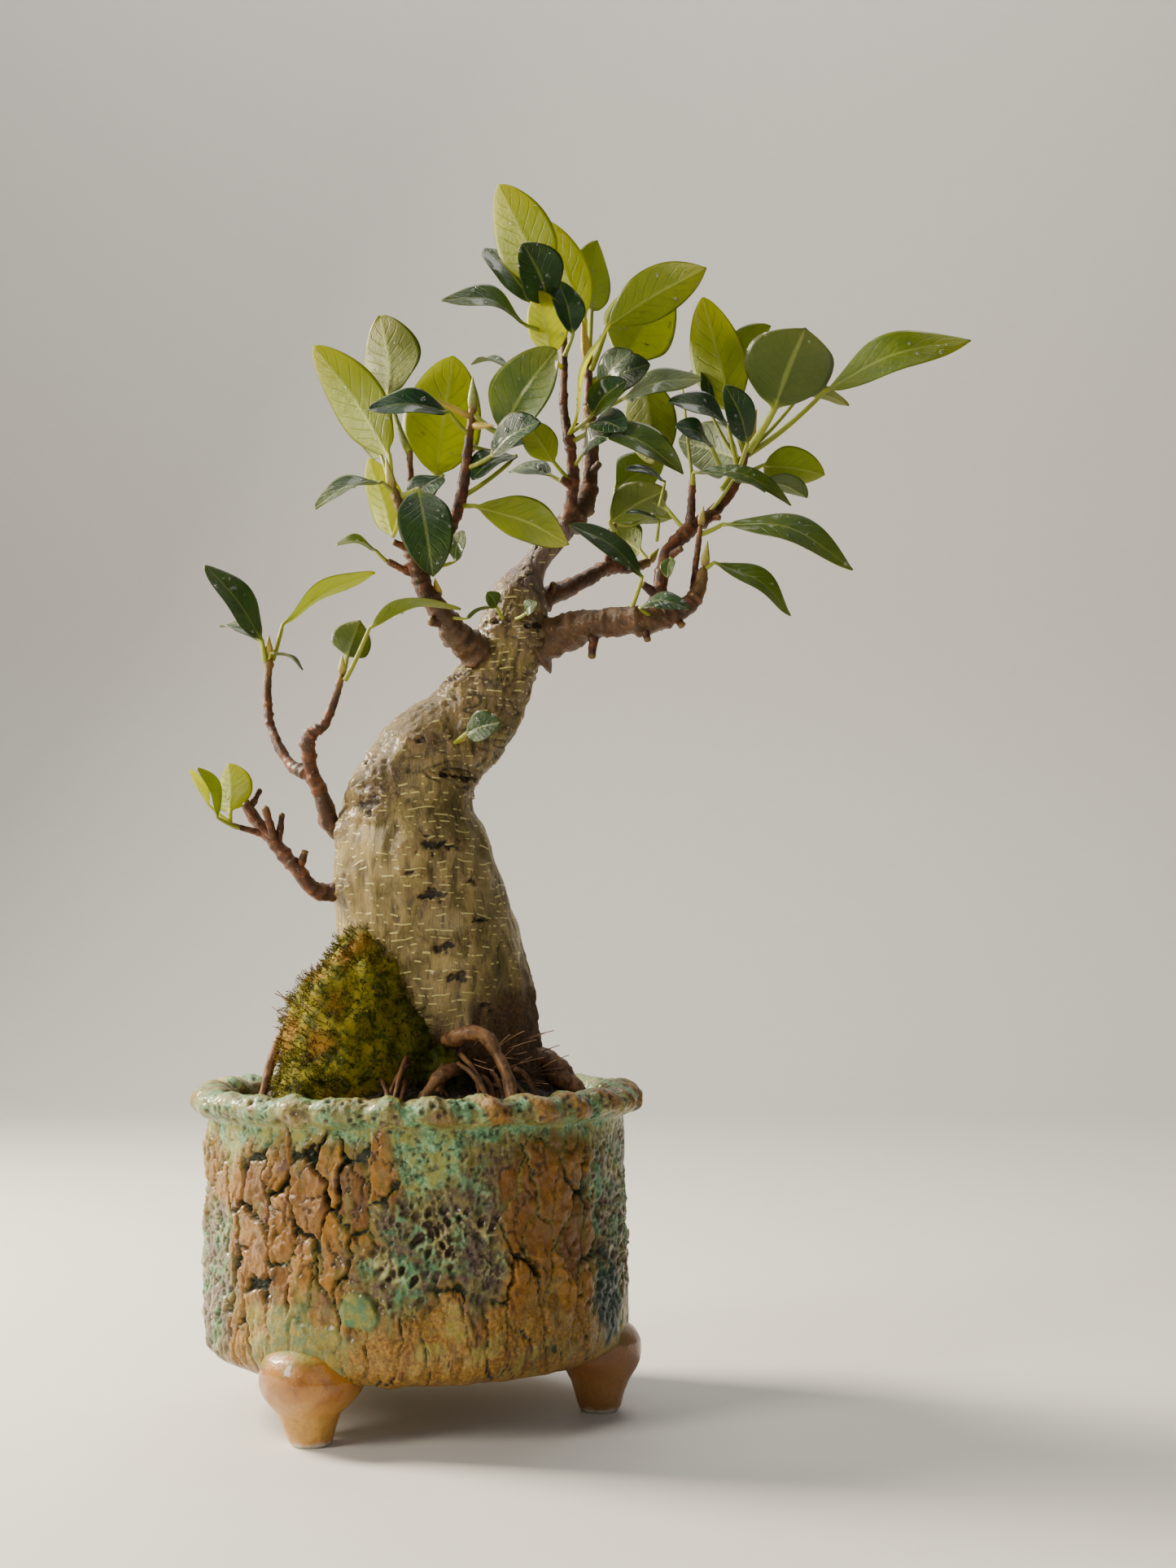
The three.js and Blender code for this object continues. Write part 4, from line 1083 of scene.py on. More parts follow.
# small leaves between the large ones
smallLeaves = [
    ("fork_low", (-50, 9, 140), (-53, 9, 147), (-68, 22, 154), 10, 30, 3, 0.15),
    ("fork_twig", (-50, 8, 141), (-49, 6, 143), (-38, 2, 137), 4, 10, 2, 0.1),
    ("twig_small", (-9, -23, 168), (-12, -24, 171), (-24, -29, 172), 8, 30, 2, 0.4),
    ("twig_round", (2, -20, 166), (12, -16, 169), (15, -20, 178), 8, 55, 1, 0.3),
    ("branch_dark", (76, -10, 152), (70, -18, 154), (85, -28, 152), 10, 45, 3, 0.05),
    ("leader_dark", (49, 2, 197), (42, 5, 201), (28, 13, 204), 12, 42, 2, 0.15),
    ("upright_low", (15, -10, 200), (23, -14, 203), (39, -23, 212), 15, 50, 2, 0.0),
    ("upright_deep", (13, -12, 190), (31, -6, 205), (17, -13, 196), 13, 40, 2, 0.0),
    ("left_behind", (-5, -24, 186), (-12, -10, 204), (-22, 0, 217), 11, -50, 2, 0.45),
    ("left_between", (-2, -20, 178), (8, -14, 197), (-2, -20, 185), 13, 55, 2, 0.0),
    ("lime", (46, 4, 236), (42, 0, 239), (38, -6, 259), 14, -75, 2, 1.0),
    ("rear_high", (107, 18, 213), (101, 26, 238), (117, 44, 262), 14, -40, 3, 0.35),
    ("rear_fold", (104, 18, 208), (94, 22, 228), (93, 30, 242), 8, 60, 2, 0.05),
    ("rear_shade", (98, 12, 198), (104, 16, 209), (85, 36, 220), 19, -60, 2, 0.02),
    ("riser_dark", (98, 10, 204), (94, 2, 210), (82, -8, 214), 12, 42, 2, 0.0),
    ("leader_side", (46, 4, 240), (49, -1, 246), (44, 0, 264), 11, 70, 2, 0.05),
    ("leader_low", (48, 0, 214), (55, -6, 218), (66, -12, 228), 12, 60, 2, 0.0),
    ("stem_wide", (54, 12, 226), (58, 2, 228), (68, -10, 238), 14, 60, 2, 0.0),
    ("stem_rear", (54, 12, 227), (66, 22, 236), (84, 32, 239), 8, 25, 2, 0.15),
    ("stem_low", (49, 1, 203), (52, -4, 206), (62, -12, 212), 11, 45, 2, 0.0),
    ("back_pair", (88, 6, 200), (86, 34, 240), (94, 30, 241), 7, 35, 1, 0.2),
    ("middle_dark", (52, 2, 216), (55, -4, 216), (66, -14, 211), 12, 62, 2, 0.0),
    ("crown_deep", (55, 10, 228), (60, 6, 231), (74, -2, 236), 13, 68, 2, 0.05),
    ("right_deep", (104, 15, 206), (106, 6, 212), (98, -6, 228), 12, 66, 2, 0.05),
    ("cross_rear", (30, 8, 222), (28, 9, 238), (15, 16, 241), 8, 20, 2, 0.2),
    ("middle_rear", (63, 26, 190), (68, 32, 190), (83, 40, 194), 12, -30, 2, 0.3),
    ("middle_low", (75, 35, 178), (72, 38, 182), (60, 44, 190), 14, -60, 2, 0.35),
    ("middle_front", (77, 0, 190), (79, 5, 199), (66, -4, 201), 6, 35, 2, 0.0),
    ("middle_dot", (76, -4, 178), (77, 3, 186), (66, -4, 187), 5, 30, 1, 0.0),
    ("riser_front", (78, -6, 168), (80, -12, 171), (79, -15, 164), 5, 70, 1, 0.3),
    ("riser_low", (86, 2, 182), (80, 6, 190), (66, 14, 196), 12, -40, 2, 0.3),
    ("right_under", (94, 7, 190), (101, 2, 199), (111, -3, 194), 6, 20, 1, 0.1),
    ("right_rear", (107, 18, 212), (126, 26, 234), (141, 20, 228), 9, -20, 2, 0.4),
    ("right_shade", (104, 15, 203), (112, 24, 203), (128, 30, 199), 11, -20, 2, 0.1),
    ("knob_tiny", (9, -15, 152), (16, -22, 150), (24, -26, 153), 4, 10, 1, 0.1),
    ("trunk_sprout", (9, -10, 111), (16, -22, 114), (27, -28, 117), 10, 72, 1, 0.12),
    ("cut_left", (27, -9, 152), (25, -13, 155), (22, -17, 159), 6, 65, 1, 0.2),
    ("cut_right", (31, -8, 152), (34, -12, 153), (38, -15, 156), 6, 60, 1, 0.2),
    ("low_bud", (-58, -16, 87), (-64, -19, 92), (-70, -20, 103), 4, -60, 1, 1.0),
]


def leafRows(start, base, tip, arch, tilt):
    start, base, tip = Vector(start), Vector(base), Vector(tip)
    chord = tip - base
    along = chord.normalized()
    front = Vector((0, -1, 0))
    front = (front - along * front.dot(along)).normalized()
    over = along.cross(front)
    if over.z + 0.01 < 0:
        over = -over
    lean = math.radians(tilt)
    upper = front * math.sin(lean) + over * math.cos(lean)
    across = along.cross(upper)
    knee = 0.5 * (start + base) - Vector((0, 0, 0.08 * (base - start).length))
    middle = base + 0.5 * chord + upper * arch
    return start, knee, base, middle, tip, across


def leafMesh(name, start, base, tip, width, tilt, arch, youthAndBacklight, seed):
    start, knee, base, middle, tip, across = leafRows(start, base, tip, arch, tilt)
    stalkRows, bladeRows, half = 7, 30, 8
    sides = 4 * half
    names = ("across", "along", "upperSide", "stalk", "youthAndBacklight", "seed", "sprout")
    points, marks = [], {key: [] for key in names}
    curve = [np.array(base), np.array(middle), np.array(tip)]
    twist = 0.16 * math.sin(seed * 5.1)
    cup = 0.20 + 0.10 * math.sin(seed * 3.7)
    for i in range(stalkRows + bladeRows + 1):
        onBlade = i >= stalkRows
        if onBlade:
            u = (i - stalkRows) / bladeRows
            u = u - 0.035 * math.sin(2 * math.pi * u)
            centre = Vector(splinePoint(curve, u))
            ahead = Vector(splinePoint(curve, min(1, u + 0.02)))
            ahead -= Vector(splinePoint(curve, max(0, u - 0.02)))
        else:
            u = 0
            t = i / stalkRows
            centre = start * (1 - t) ** 2 + knee * 2 * t * (1 - t) + base * t * t
            ahead = (knee - start) * (1 - t) + (base - knee) * t
        tangent = ahead.normalized()
        side = (tip - base).normalized().rotation_difference(tangent) @ across
        through = side.cross(tangent).normalized()
        turned = side * math.cos(twist * u) + through * math.sin(twist * u)
        through = through * math.cos(twist * u) - side * math.sin(twist * u)
        outline = 0.0
        if onBlade:  # long leaves end in a point, the others in a round tip
            outline = 0.5 * width * math.sin(math.pi * u ** 0.95) ** (0.8 if arch > 3 else 0.62)
            outline *= lerp(0.74, 1.0, smooth(0.0, 0.38, u))
        thick = 0.30 + 0.028 * width
        stalk = thick * (1 - 0.55 * smooth(0.0, 0.9, u))
        if not onBlade:
            stalk = thick * (1.3 - 0.3 * i / stalkRows)
        wide = max(outline, stalk)
        flat = smooth(0.0, 0.10, u)
        for j in range(sides):
            onTop = j <= 2 * half
            v = 1 - j / half if onTop else -1 + (j - 2 * half) / half
            ang = math.pi * j / (2 * half)
            wave = 0.035 * width * math.sin(9 * u + 3 * seed) * abs(v) ** 2 * flat
            ridge = math.exp(-(v * wide / 0.55) ** 2)
            sheet = 0.24 * (1 - abs(v) ** 3)
            if onTop:
                rise = sheet - 0.30 * ridge * flat * (1 - u)
            else:
                rise = -sheet - 0.55 * ridge * flat * (1 - 0.75 * u)
            blade = turned * (v * wide) + through * (rise + abs(v) ** 1.5 * cup * outline + wave)
            tube = turned * (math.cos(ang) * stalk) + through * (math.sin(ang) * stalk)
            points.append(place(*(centre + tube.lerp(blade, flat))))
            marks["across"].append(v)
            marks["along"].append(u)
            marks["upperSide"].append(1.0 if onTop else 0.0)
            onStalk = 1 - smooth(0.0, 0.12, u) * min(1, abs(v) * 6)
            marks["stalk"].append(onStalk if u < 0.12 else 0.0)
            marks["youthAndBacklight"].append(youthAndBacklight)
            marks["seed"].append(seed)
            wet = smooth(0.08, 0.2, u) * (1 - smooth(0.86, 0.98, u))
            wet *= 1 - smooth(0.8, 0.95, abs(v))
            marks["sprout"].append(wet * (1.0 if onTop else 0.3))
    rings = stalkRows + bladeRows + 1
    leaf = meshObject(name, points, cappedFaces(rings, sides))
    turnOutwards(leaf)
    for key, values in marks.items():
        addFloats(leaf, key, values)
    return leaf


def turnOutwards(piece):
    shape = bmesh.new()
    shape.from_mesh(piece.data)
    bmesh.ops.recalc_face_normals(shape, faces=shape.faces)
    shape.to_mesh(piece.data)
    shape.free()
    piece.data.shade_smooth()


def buildLeaves():
    parts = []
    for number, (name, *rest) in enumerate(leaves + smallLeaves):
        parts.append(leafMesh(name, *rest, seed=0.37 * number + 0.2))
    return joinMeshes("leaves_wet", parts)


def leafMaterial():
    material, board = newMaterial("ficus_leaf")
    spot = board.objectSpot()
    across, along, top, stalk, youthAndBacklight, seed = (
        board.float(n) for n in ("across", "along", "upperSide", "stalk", "youthAndBacklight", "seed"))
    side = across.sum("ABSOLUTE", across)
    patch = board.noise(spot, 110, 4, 0.6, 0.4)
    fine = board.noise(spot, 1500, 4, 0.7)
    mottle = board.noise(spot, 420, 5, 0.7, 0.3)
    # side veins leave the middle one and run forwards
    veinPlace = along * 8.5 - side * 2.2 + patch * 0.9 + seed * 3.0
    veinAway = veinPlace.sum("FRACT", veinPlace) - 0.5
    veinAway = veinAway.sum("ABSOLUTE", veinAway)
    vein = (1 - veinAway.step(0.02, 0.12)) * side.step(0.0, 0.15) * (1 - side.step(0.6, 0.95))
    middle = 1 - side.step(0.02, 0.09)
    edge = side.step(0.93, 0.995)
    ownSpot = board.add("ShaderNodeCombineXYZ", None, {0: seed, 1: 0.0, 2: 0.0}).out(0)
    tint = board.noise(ownSpot, 3.1, 1)
    # the per-leaf number makes the base colour lighter and yellower: the young leaves' own colour,
    # and painted backlight glow
    old = board.mix(patch.step(0.35, 0.7), (0.004, 0.028, 0.008), (0.012, 0.060, 0.007))
    young = board.mix(patch.step(0.35, 0.7), (0.085, 0.170, 0.005), (0.190, 0.260, 0.007))
    under = board.mix(youthAndBacklight, (0.040, 0.075, 0.013), (0.235, 0.290, 0.010))
    under = board.mix(tint.step(0.50, 0.62) * 0.4, under, (0.115, 0.110, 0.012))
    skin = board.mix(top, under, board.mix(youthAndBacklight, old, young))
    skin = board.mix(mottle.step(0.48, 0.70) * youthAndBacklight * 0.45, skin, (0.36, 0.33, 0.025))
    skin = board.mix(along.step(0.55, 1.0) * youthAndBacklight * 0.45, skin, (0.42, 0.33, 0.012))
    skin = board.mix(vein * (youthAndBacklight * 0.10 + 0.035), skin, (0.36, 0.42, 0.08))
    skin = board.mix(middle * (youthAndBacklight * 0.30 + 0.25), skin, (0.42, 0.48, 0.10))
    skin = board.mix(edge * 0.45, skin, (0.26, 0.22, 0.025))
    skin = board.mix(stalk * 0.85, skin, (0.32, 0.36, 0.030))
    height = fine * 0.35 + mottle * 0.8 - vein * 0.35
    blade = principled(board, {
        "Base Color": skin,
        "Roughness": (top * -0.12 + fine * 0.25 + 0.38).clamp(),
        "Coat Weight": (top * 0.22 + 0.04).clamp(), "Coat Roughness": 0.10,
        "Specular IOR Level": 0.32,
        "Normal": board.bump(height, 0.0010, 0.7),
    })
    light = board.mix(youthAndBacklight, (0.05, 0.16, 0.002), (0.88, 0.90, 0.008))
    light = board.mix(vein * 0.25, light, (0.24, 0.32, 0.01))
    light = board.mix(middle * 0.4, light, (0.50, 0.58, 0.06))
    through = board.add("ShaderNodeBsdfTranslucent", None, {"Color": light}).out("BSDF")
    share = (youthAndBacklight * 0.46 + 0.14 - middle * 0.1 - stalk * 0.25).clamp()
    mixed = board.add("ShaderNodeMixShader", None, {0: share, 1: blade, 2: through}).out("Shader")
    outputShader(board, mixed)
    return material


leafNodes = [row[0] for row in leaves]
leavesPiece = finishPiece(buildLeaves(), leafMaterial(), leafNodes)
print("leaves done")


# pointed sheaths at the shoot tips: base, tip, radius and how orange
budRows = [((46, 5, 251), (43, 6, 266), 1.9, 0.5), ((54, 12, 240), (52, 8, 254), 1.8, 0.9),
           ((107, 18, 213), (110, 17, 226), 1.7, 0.6), ((-7, -25, 190), (-9, -26, 200), 1.5, 0.4),
           ((17, -8, 219), (17, -9, 230), 1.6, 0.0), ((17, -8, 217), (4, -14, 222), 1.1, 0.9),
           ((17, -9, 214), (24, -14, 213), 1.2, 0.8), ((-50, 9, 142), (-50, 8, 149), 1.4, 0.6),
           ((-23, -18, 133), (-23, -18, 139), 1.3, 0.5), ((7, -17, 158), (6, -20, 163), 1.3, 1.0),
           ((-55, -8, 94), (-56, -9, 99), 1.3, 0.2), ((91, -8, 169), (92, -9, 177), 1.4, 0.3),
           ((90, -4, 183), (91, -5, 189), 1.2, 0.4), ((63, 26, 190), (63, 25, 197), 1.3, 0.4),
           ((13, -16, 112), (17, -20, 115), 1.0, 0.6), ((75, 35, 178), (78, 37, 183), 1.3, 0.3)]


def buildBuds():
    parts = []
    for number, (base, tip, thick, tint) in enumerate(budRows):
        a, b = Vector(base), Vector(tip)
        taper = ((0, 0.8), (0.3, 1.0), (0.7, 0.55), (1, 0.12))
        route = [(*a.lerp(b, t), thick * r) for t, r in taper]

        def shape(share, turn, spot, radius, run, tint=tint):
            fold = 0.12 * radius * math.cos(3 * turn + 4 * share)
            return fold, {"tint": tint, "share": share}
        parts.append(skinAlong(f"bud_{number}", route, 14, 12, shape))
    return joinMeshes("buds", parts)


def budMaterial():
    material, board = newMaterial("bud_sheath")
    tint, share = board.float("tint"), board.float("share")
    fine = board.noise(board.objectSpot(), 1400, 4, 0.6)
    skin = board.mix(tint, (0.16, 0.20, 0.03), (0.52, 0.34, 0.035))
    skin = board.mix((1 - share.step(0.0, 0.4)) * 0.7, skin, (0.20, 0.075, 0.03))
    skin = board.mix(fine.step(0.5, 0.7) * 0.3, skin, (0.50, 0.50, 0.14))
    outputShader(board, principled(board, {
        "Base Color": skin, "Roughness": (fine * 0.3 + 0.25).clamp(),
        "Normal": board.bump(fine, 0.0004, 0.4)}))
    return material


finishPiece(buildBuds(), budMaterial())
print("buds done")


# soil, moss and what lies on them
def scatterOn(name, host, shape, values, material):
    # Geometry Nodes: copies of one small shape over a skin, then made one plain mesh
    tree = bpy.data.node_groups.new(name, "GeometryNodeTree")
    board = Board(tree)
    face = tree.interface
    kinds = (("Density", "NodeSocketFloat"), ("Smallest", "NodeSocketFloat"),
             ("Largest", "NodeSocketFloat"), ("Lean", "NodeSocketFloat"), ("Seed", "NodeSocketInt"))
    face.new_socket("Geometry", in_out="INPUT", socket_type="NodeSocketGeometry")
    plugs = {key: face.new_socket(key, in_out="INPUT", socket_type=kind).identifier
             for key, kind in kinds}
    face.new_socket("Geometry", in_out="OUTPUT", socket_type="NodeSocketGeometry")
    given = board.add("NodeGroupInput")
    share = board.add("GeometryNodeInputNamedAttribute", {"data_type": "FLOAT"},
                      {"Name": "sprout"}).out("Attribute")
    spots = board.add("GeometryNodeDistributePointsOnFaces", None, {
        "Mesh": given.out("Geometry"), "Density": given.out("Density") * share,
        "Seed": given.out("Seed")})
    leanSize = board.add("FunctionNodeRandomValue", {"data_type": "FLOAT_VECTOR"})
    leanInputs = [i for i in leanSize.node.inputs if i.type == "VECTOR"]
    leanHigh = board.add("ShaderNodeCombineXYZ", None, {
        "X": given.out("Lean"), "Y": given.out("Lean"), "Z": 6.283})
    leanLow = board.add("ShaderNodeCombineXYZ", None, {
        "X": given.out("Lean") * -1.0, "Y": given.out("Lean") * -1.0, "Z": 0.0})
    tree.links.new(leanLow.out(0).socket, leanInputs[0])
    tree.links.new(leanHigh.out(0).socket, leanInputs[1])
    leanOut = next(o for o in leanSize.node.outputs if o.type == "VECTOR")
    turned = board.add("FunctionNodeRotateRotation", {"rotation_space": "LOCAL"},
                        {0: spots.out("Rotation"), 1: Wire(board, leanOut)})
    size = board.add("FunctionNodeRandomValue", {"data_type": "FLOAT"})
    sizeInputs = [i for i in size.node.inputs if i.type == "VALUE"]
    tree.links.new(given.out("Smallest").socket, sizeInputs[0])
    tree.links.new(given.out("Largest").socket, sizeInputs[1])
    sizeOut = next(o for o in size.node.outputs if o.type == "VALUE")
    copy = board.add("GeometryNodeObjectInfo", None, {"Object": shape})
    placed = board.add("GeometryNodeInstanceOnPoints", None, {
        "Points": spots.out("Points"), "Instance": copy.out("Geometry"),
        "Rotation": turned.out(0), "Scale": Wire(board, sizeOut)})
    real = board.add("GeometryNodeRealizeInstances", None, {"Geometry": placed.out(0)})
    dressed = board.add("GeometryNodeSetMaterial", None,
                        {"Geometry": real.out(0), "Material": material})
    board.add("NodeGroupOutput", None, {"Geometry": dressed.out(0)})
    carrier = bpy.data.objects.new(name + "_carrier", host.data)
    bpy.context.scene.collection.objects.link(carrier)
    modifier = carrier.modifiers.new("scatter", "NODES")
    modifier.node_group = tree
    for key, value in values.items():
        modifier[plugs[key]] = value
    bpy.context.view_layer.update()
    evaluated = carrier.evaluated_get(bpy.context.evaluated_depsgraph_get())
    mesh = bpy.data.meshes.new_from_object(evaluated)
    mesh.name = name
    piece = bpy.data.objects.new(name, mesh)
    bpy.context.scene.collection.objects.link(piece)
    bpy.data.objects.remove(carrier)
    print(name, len(mesh.polygons), "faces")
    return piece


def soilLevel(x, y):
    r = math.hypot(x, y)
    if r < 34:
        level = lerp(8.0, 6.8, r / 34)
    else:
        t = min(1.0, (r - 34) / 24.5)
        level = lerp(6.8, -2.5, t ** 0.85)
    bump = 1.3 * wander(x / 9, y / 9, 3.0) + 0.7 * rough(x / 3, y / 3, 1.0, 3)
    return level + bump - 0.6


def buildSoil():
    rings, sides = 70, 190
    points, sprout = [place(0, 0, 7)], [0.0]
    for i in range(1, rings + 1):
        r = 58.6 * i / rings
        for j in range(sides):
            turn = 2 * math.pi * j / sides
            x, y = r * math.cos(turn), r * math.sin(turn)
            points.append(place(x, y, soilLevel(x, y)))
            sprout.append(smooth(24, 28, r) * (1 - smooth(56, 58, r)))
    for level in (-30, -69):
        for j in range(sides):
            turn = 2 * math.pi * j / sides
            points.append(place(58.6 * math.cos(turn), 58.6 * math.sin(turn), level))
            sprout.append(0.0)
    faces = [(0, 1 + j, 1 + (j + 1) % sides) for j in range(sides)]
    for i in range(rings + 1):
        a, b = 1 + i * sides, 1 + (i + 1) * sides
        for j in range(sides):
            k = (j + 1) % sides
            faces.append((a + j, b + j, b + k, a + k))
    last = 1 + (rings + 1) * sides
    faces.append(tuple(reversed(range(last, last + sides))))
    soil = meshObject("soil_heap", points, faces)
    addFloats(soil, "sprout", sprout)
    return soil


def soilMaterial():
    material, board = newMaterial("damp_potting_soil")
    spot = board.objectSpot()
    fine = board.noise(spot, 700, 5, 0.7)
    patch = board.noise(spot, 90, 4, 0.6)
    skin = board.mix(fine.step(0.35, 0.7), (0.018, 0.011, 0.007), (0.075, 0.045, 0.026))
    skin = board.mix(patch.step(0.52, 0.7) * 0.6, skin, (0.045, 0.055, 0.016))
    outputShader(board, principled(board, {
        "Base Color": skin, "Roughness": (fine * 0.3 + 0.55).clamp(),
        "Normal": board.bump(fine, 0.0012, 0.9)}))
    return material


def smallShape(name, points, faces):
    piece = meshObject(name, points, faces)
    piece.hide_render = True
    piece.hide_viewport = True
    return piece


def crumbShape():
    shape = bmesh.new()
    bmesh.ops.create_icosphere(shape, subdivisions=1, radius=mm)
    for v in shape.verts:
        v.co *= 1 + 0.35 * wander(v.co.x * 900, v.co.y * 900, v.co.z * 900)
        v.co.z *= 0.75
    mesh = bpy.data.meshes.new("crumb")
    shape.to_mesh(mesh)
    shape.free()
    piece = bpy.data.objects.new("crumb", mesh)
    bpy.context.scene.collection.objects.link(piece)
    piece.hide_render = True
    return piece


def shootShape():
    # one moss shoot: a bent stem with little leaves in a spiral
    points, faces = [], []
    rows, sides = 3, 3
    for i in range(rows):
        t = i / (rows - 1)
        r = 0.16 * (1 - 0.6 * t)
        for j in range(sides):
            turn = 2 * math.pi * j / sides
            x, y = r * math.cos(turn) + 0.7 * t * t, r * math.sin(turn)
            points.append(Vector((x, y, 4.6 * t - 0.6)) * mm)
    faces += stripFaces(rows, sides)
    for number in range(9):
        t = 0.22 + 0.78 * number / 9
        turn = 2.4 * number
        root = Vector((0.7 * t * t, 0, 4.6 * t - 0.6))
        out = Vector((math.cos(turn), math.sin(turn), 0.95))
        side = Vector((-math.sin(turn), math.cos(turn), 0)) * 0.22
        long = 1.5 - 0.5 * t
        a = len(points)
        points += [(root - side) * mm, (root + side) * mm, (root + out * long) * mm,
                   (root + out * 0.5 * long + Vector((0, 0, -0.16))) * mm]
        faces += [(a, a + 1, a + 2), (a + 1, a + 3, a + 2), (a + 3, a, a + 2), (a, a + 3, a + 1)]
    return smallShape("moss_shoot", points, faces)


# the moss is a few cushions run together: centre, radii, and how much painted shade, in dark green,
# each has
cushions = [((-15, -11, 4), (28, 30, 47), 0.0), ((-12, -9, 40), (13, 17, 21), 0.25),
            ((7, -24, 2), (14, 12, 17), 1.0), ((-24, -22, 0), (17, 18, 22), 0.1)]


def cushionMesh(number, centre, radii, paintedShade):
    sides, rings = 72, 44
    points, sprout, shade = [], [], []
    for i in range(1, rings):
        turnUp = math.pi * i / rings
        for j in range(sides):
            turn = 2 * math.pi * j / sides
            x, y, z = (math.sin(turnUp) * math.cos(turn), math.sin(turnUp) * math.sin(turn),
                       -math.cos(turnUp))
            lump = 0.97 + 0.11 * wander(3.2 * x, 3.2 * y, 3.2 * z, 2.0 + number)
            lump += 0.06 * wander(8 * x, 8 * y, 8 * z, number)
            spot = Vector(centre) + Vector((x * radii[0], y * radii[1], z * radii[2])) * lump
            points.append(place(*spot))
            ground = soilLevel(spot.x, spot.y)
            bare = smooth(0.02, 0.25, wander(spot.x / 7, spot.y / 7, spot.z / 7, 6.0))
            bare *= smooth(-14, -4, spot.x) * (1 - smooth(16, 26, spot.z))
            sprout.append(smooth(ground - 3, ground + 1, spot.z) * (1 - 0.9 * bare))
            # painted shade, darker towards the trunk and less higher up
            towardsTrunk = 0.8 * smooth(-12, 6, spot.x)
            shade.append(max(paintedShade, towardsTrunk * (1 - 0.5 * smooth(30, 50, spot.z))))
    for z in (-1, 1):
        points.append(place(*(Vector(centre) + Vector((0, 0, z * radii[2])) * 0.97)))
        sprout.append(0.5 + 0.5 * z)
        shade.append(paintedShade)
    faces = stripFaces(rings - 1, sides)
    low, high = len(points) - 2, len(points) - 1
    for j in range(sides):
        k = (j + 1) % sides
        faces.append((low, k, j))
        faces.append((high, (rings - 2) * sides + j, (rings - 2) * sides + k))
    cushion = meshObject(f"cushion_{number}", points, faces)
    addFloats(cushion, "sprout", sprout)
    addFloats(cushion, "shade", shade)
    return cushion


def buildMoss():
    return joinMeshes("moss_cushion", [cushionMesh(i, *row) for i, row in enumerate(cushions)])


def mossMaterial():
    material, board = newMaterial("ochre_green_moss")
    spot = board.objectSpot()
    fine = board.noise(spot, 1300, 4, 0.7)
    clump = board.noise(spot, 230, 5, 0.7, 0.6)
    wide = board.noise(spot, 55, 3, 0.5)
    shade = board.float("shade")
    skin = board.mix(clump.step(0.40, 0.60), (0.070, 0.080, 0.004), (0.225, 0.185, 0.005))
    skin = board.mix(wide.step(0.52, 0.64) * 0.7, skin, (0.27, 0.11, 0.010))
    skin = board.mix(fine.step(0.50, 0.70) * 0.3, skin, (0.30, 0.27, 0.010))
    # near black where the clump noise is low: painted shade in the gaps between the moss clumps
    skin = board.mix((1 - clump.step(0.38, 0.47)) * 0.75, skin, (0.020, 0.021, 0.004))
    # painted shade in dark green
    skin = board.mix(shade * 0.75, skin, (0.022, 0.034, 0.005))
    blade = principled(board, {
        "Base Color": skin, "Roughness": (fine * 0.2 + 0.6).clamp(),
        "Specular IOR Level": 0.12, "Normal": board.bump(fine, 0.0008, 0.6)})
    glowing = board.add("ShaderNodeBsdfTranslucent", None, {"Color": skin}).out("BSDF")
    share = (clump * 0.25 + 0.05).clamp()
    mixed = board.add("ShaderNodeMixShader", None, {0: share, 1: blade, 2: glowing}).out("Shader")
    outputShader(board, mixed)
    return material


soilSkin, mossSkin = soilMaterial(), mossMaterial()
crumb, shoot = crumbShape(), shootShape()
soilPiece = buildSoil()
mossPiece = buildMoss()
grains = scatterOn("soil_grains", soilPiece, crumb, {
    "Density": 420000.0, "Smallest": 0.35, "Largest": 1.15, "Lean": 1.5, "Seed": 4}, soilSkin)
shoots = scatterOn("moss_shoots", mossPiece, shoot, {
    "Density": 280000.0, "Smallest": 0.40, "Largest": 0.95, "Lean": 0.75, "Seed": 7}, mossSkin)
for source in (crumb, shoot):
    bpy.data.objects.remove(source)
finishPiece(soilPiece, soilSkin, ["soil"])
finishPiece(mossPiece, mossSkin, ["moss"])
finishPiece(grains, soilSkin)
finishPiece(shoots, mossSkin)


def buildHairs():
    # fine hair roots at the trunk's right foot, and dry stalks out of the moss
    chance = random.Random(11)
    parts = []
    for number in range(34):
        onRight = number < 24
        turn = math.radians(chance.uniform(-60, 5) if onRight else chance.uniform(-175, -120))
        near = chance.uniform(33, 38) if onRight else chance.uniform(38, 42)
        x, y = near * math.cos(turn), near * math.sin(turn)
        z = chance.uniform(4, 17) if onRight else chance.uniform(8, 30)
        out = chance.uniform(5, 11) if onRight else chance.uniform(3, 8)
        rise = chance.uniform(-2, 9) if onRight else chance.uniform(3, 10)
        bendX, bendY = chance.uniform(-3, 3), chance.uniform(-3, 3)
        dx, dy = out * math.cos(turn), out * math.sin(turn)
        route = [(x * 0.9, y * 0.9, z, 0.16),
                 (x + 0.5 * dx + bendX * 0.5, y + 0.5 * dy, z + 0.7 * rise, 0.13),
                 (x + dx + bendX, y + dy + bendY, z + rise, 0.07)]
        parts.append(skinAlong(f"hair_{number}", route, 9, 5, rootShape(number)))
    return joinMeshes("root_hairs", parts)


hairSkin = twigMaterial("pale_root_hair", (0.40, 0.26, 0.14), (0.26, 0.12, 0.06),
                        (0.30, 0.18, 0.09))
finishPiece(buildHairs(), hairSkin)

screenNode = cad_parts["drain_screen"]
screenSkin, board = newMaterial("black_plastic_mesh")
speckle = board.noise(board.objectSpot(), 800, 3)
outputShader(board, principled(board, {
    "Base Color": board.mix(speckle, (0.012, 0.013, 0.012), (0.03, 0.03, 0.028)),
    "Roughness": (speckle * 0.2 + 0.4).clamp()}))
screenNode.data.materials.clear()
screenNode.data.materials.append(screenSkin)
print("soil and moss done")


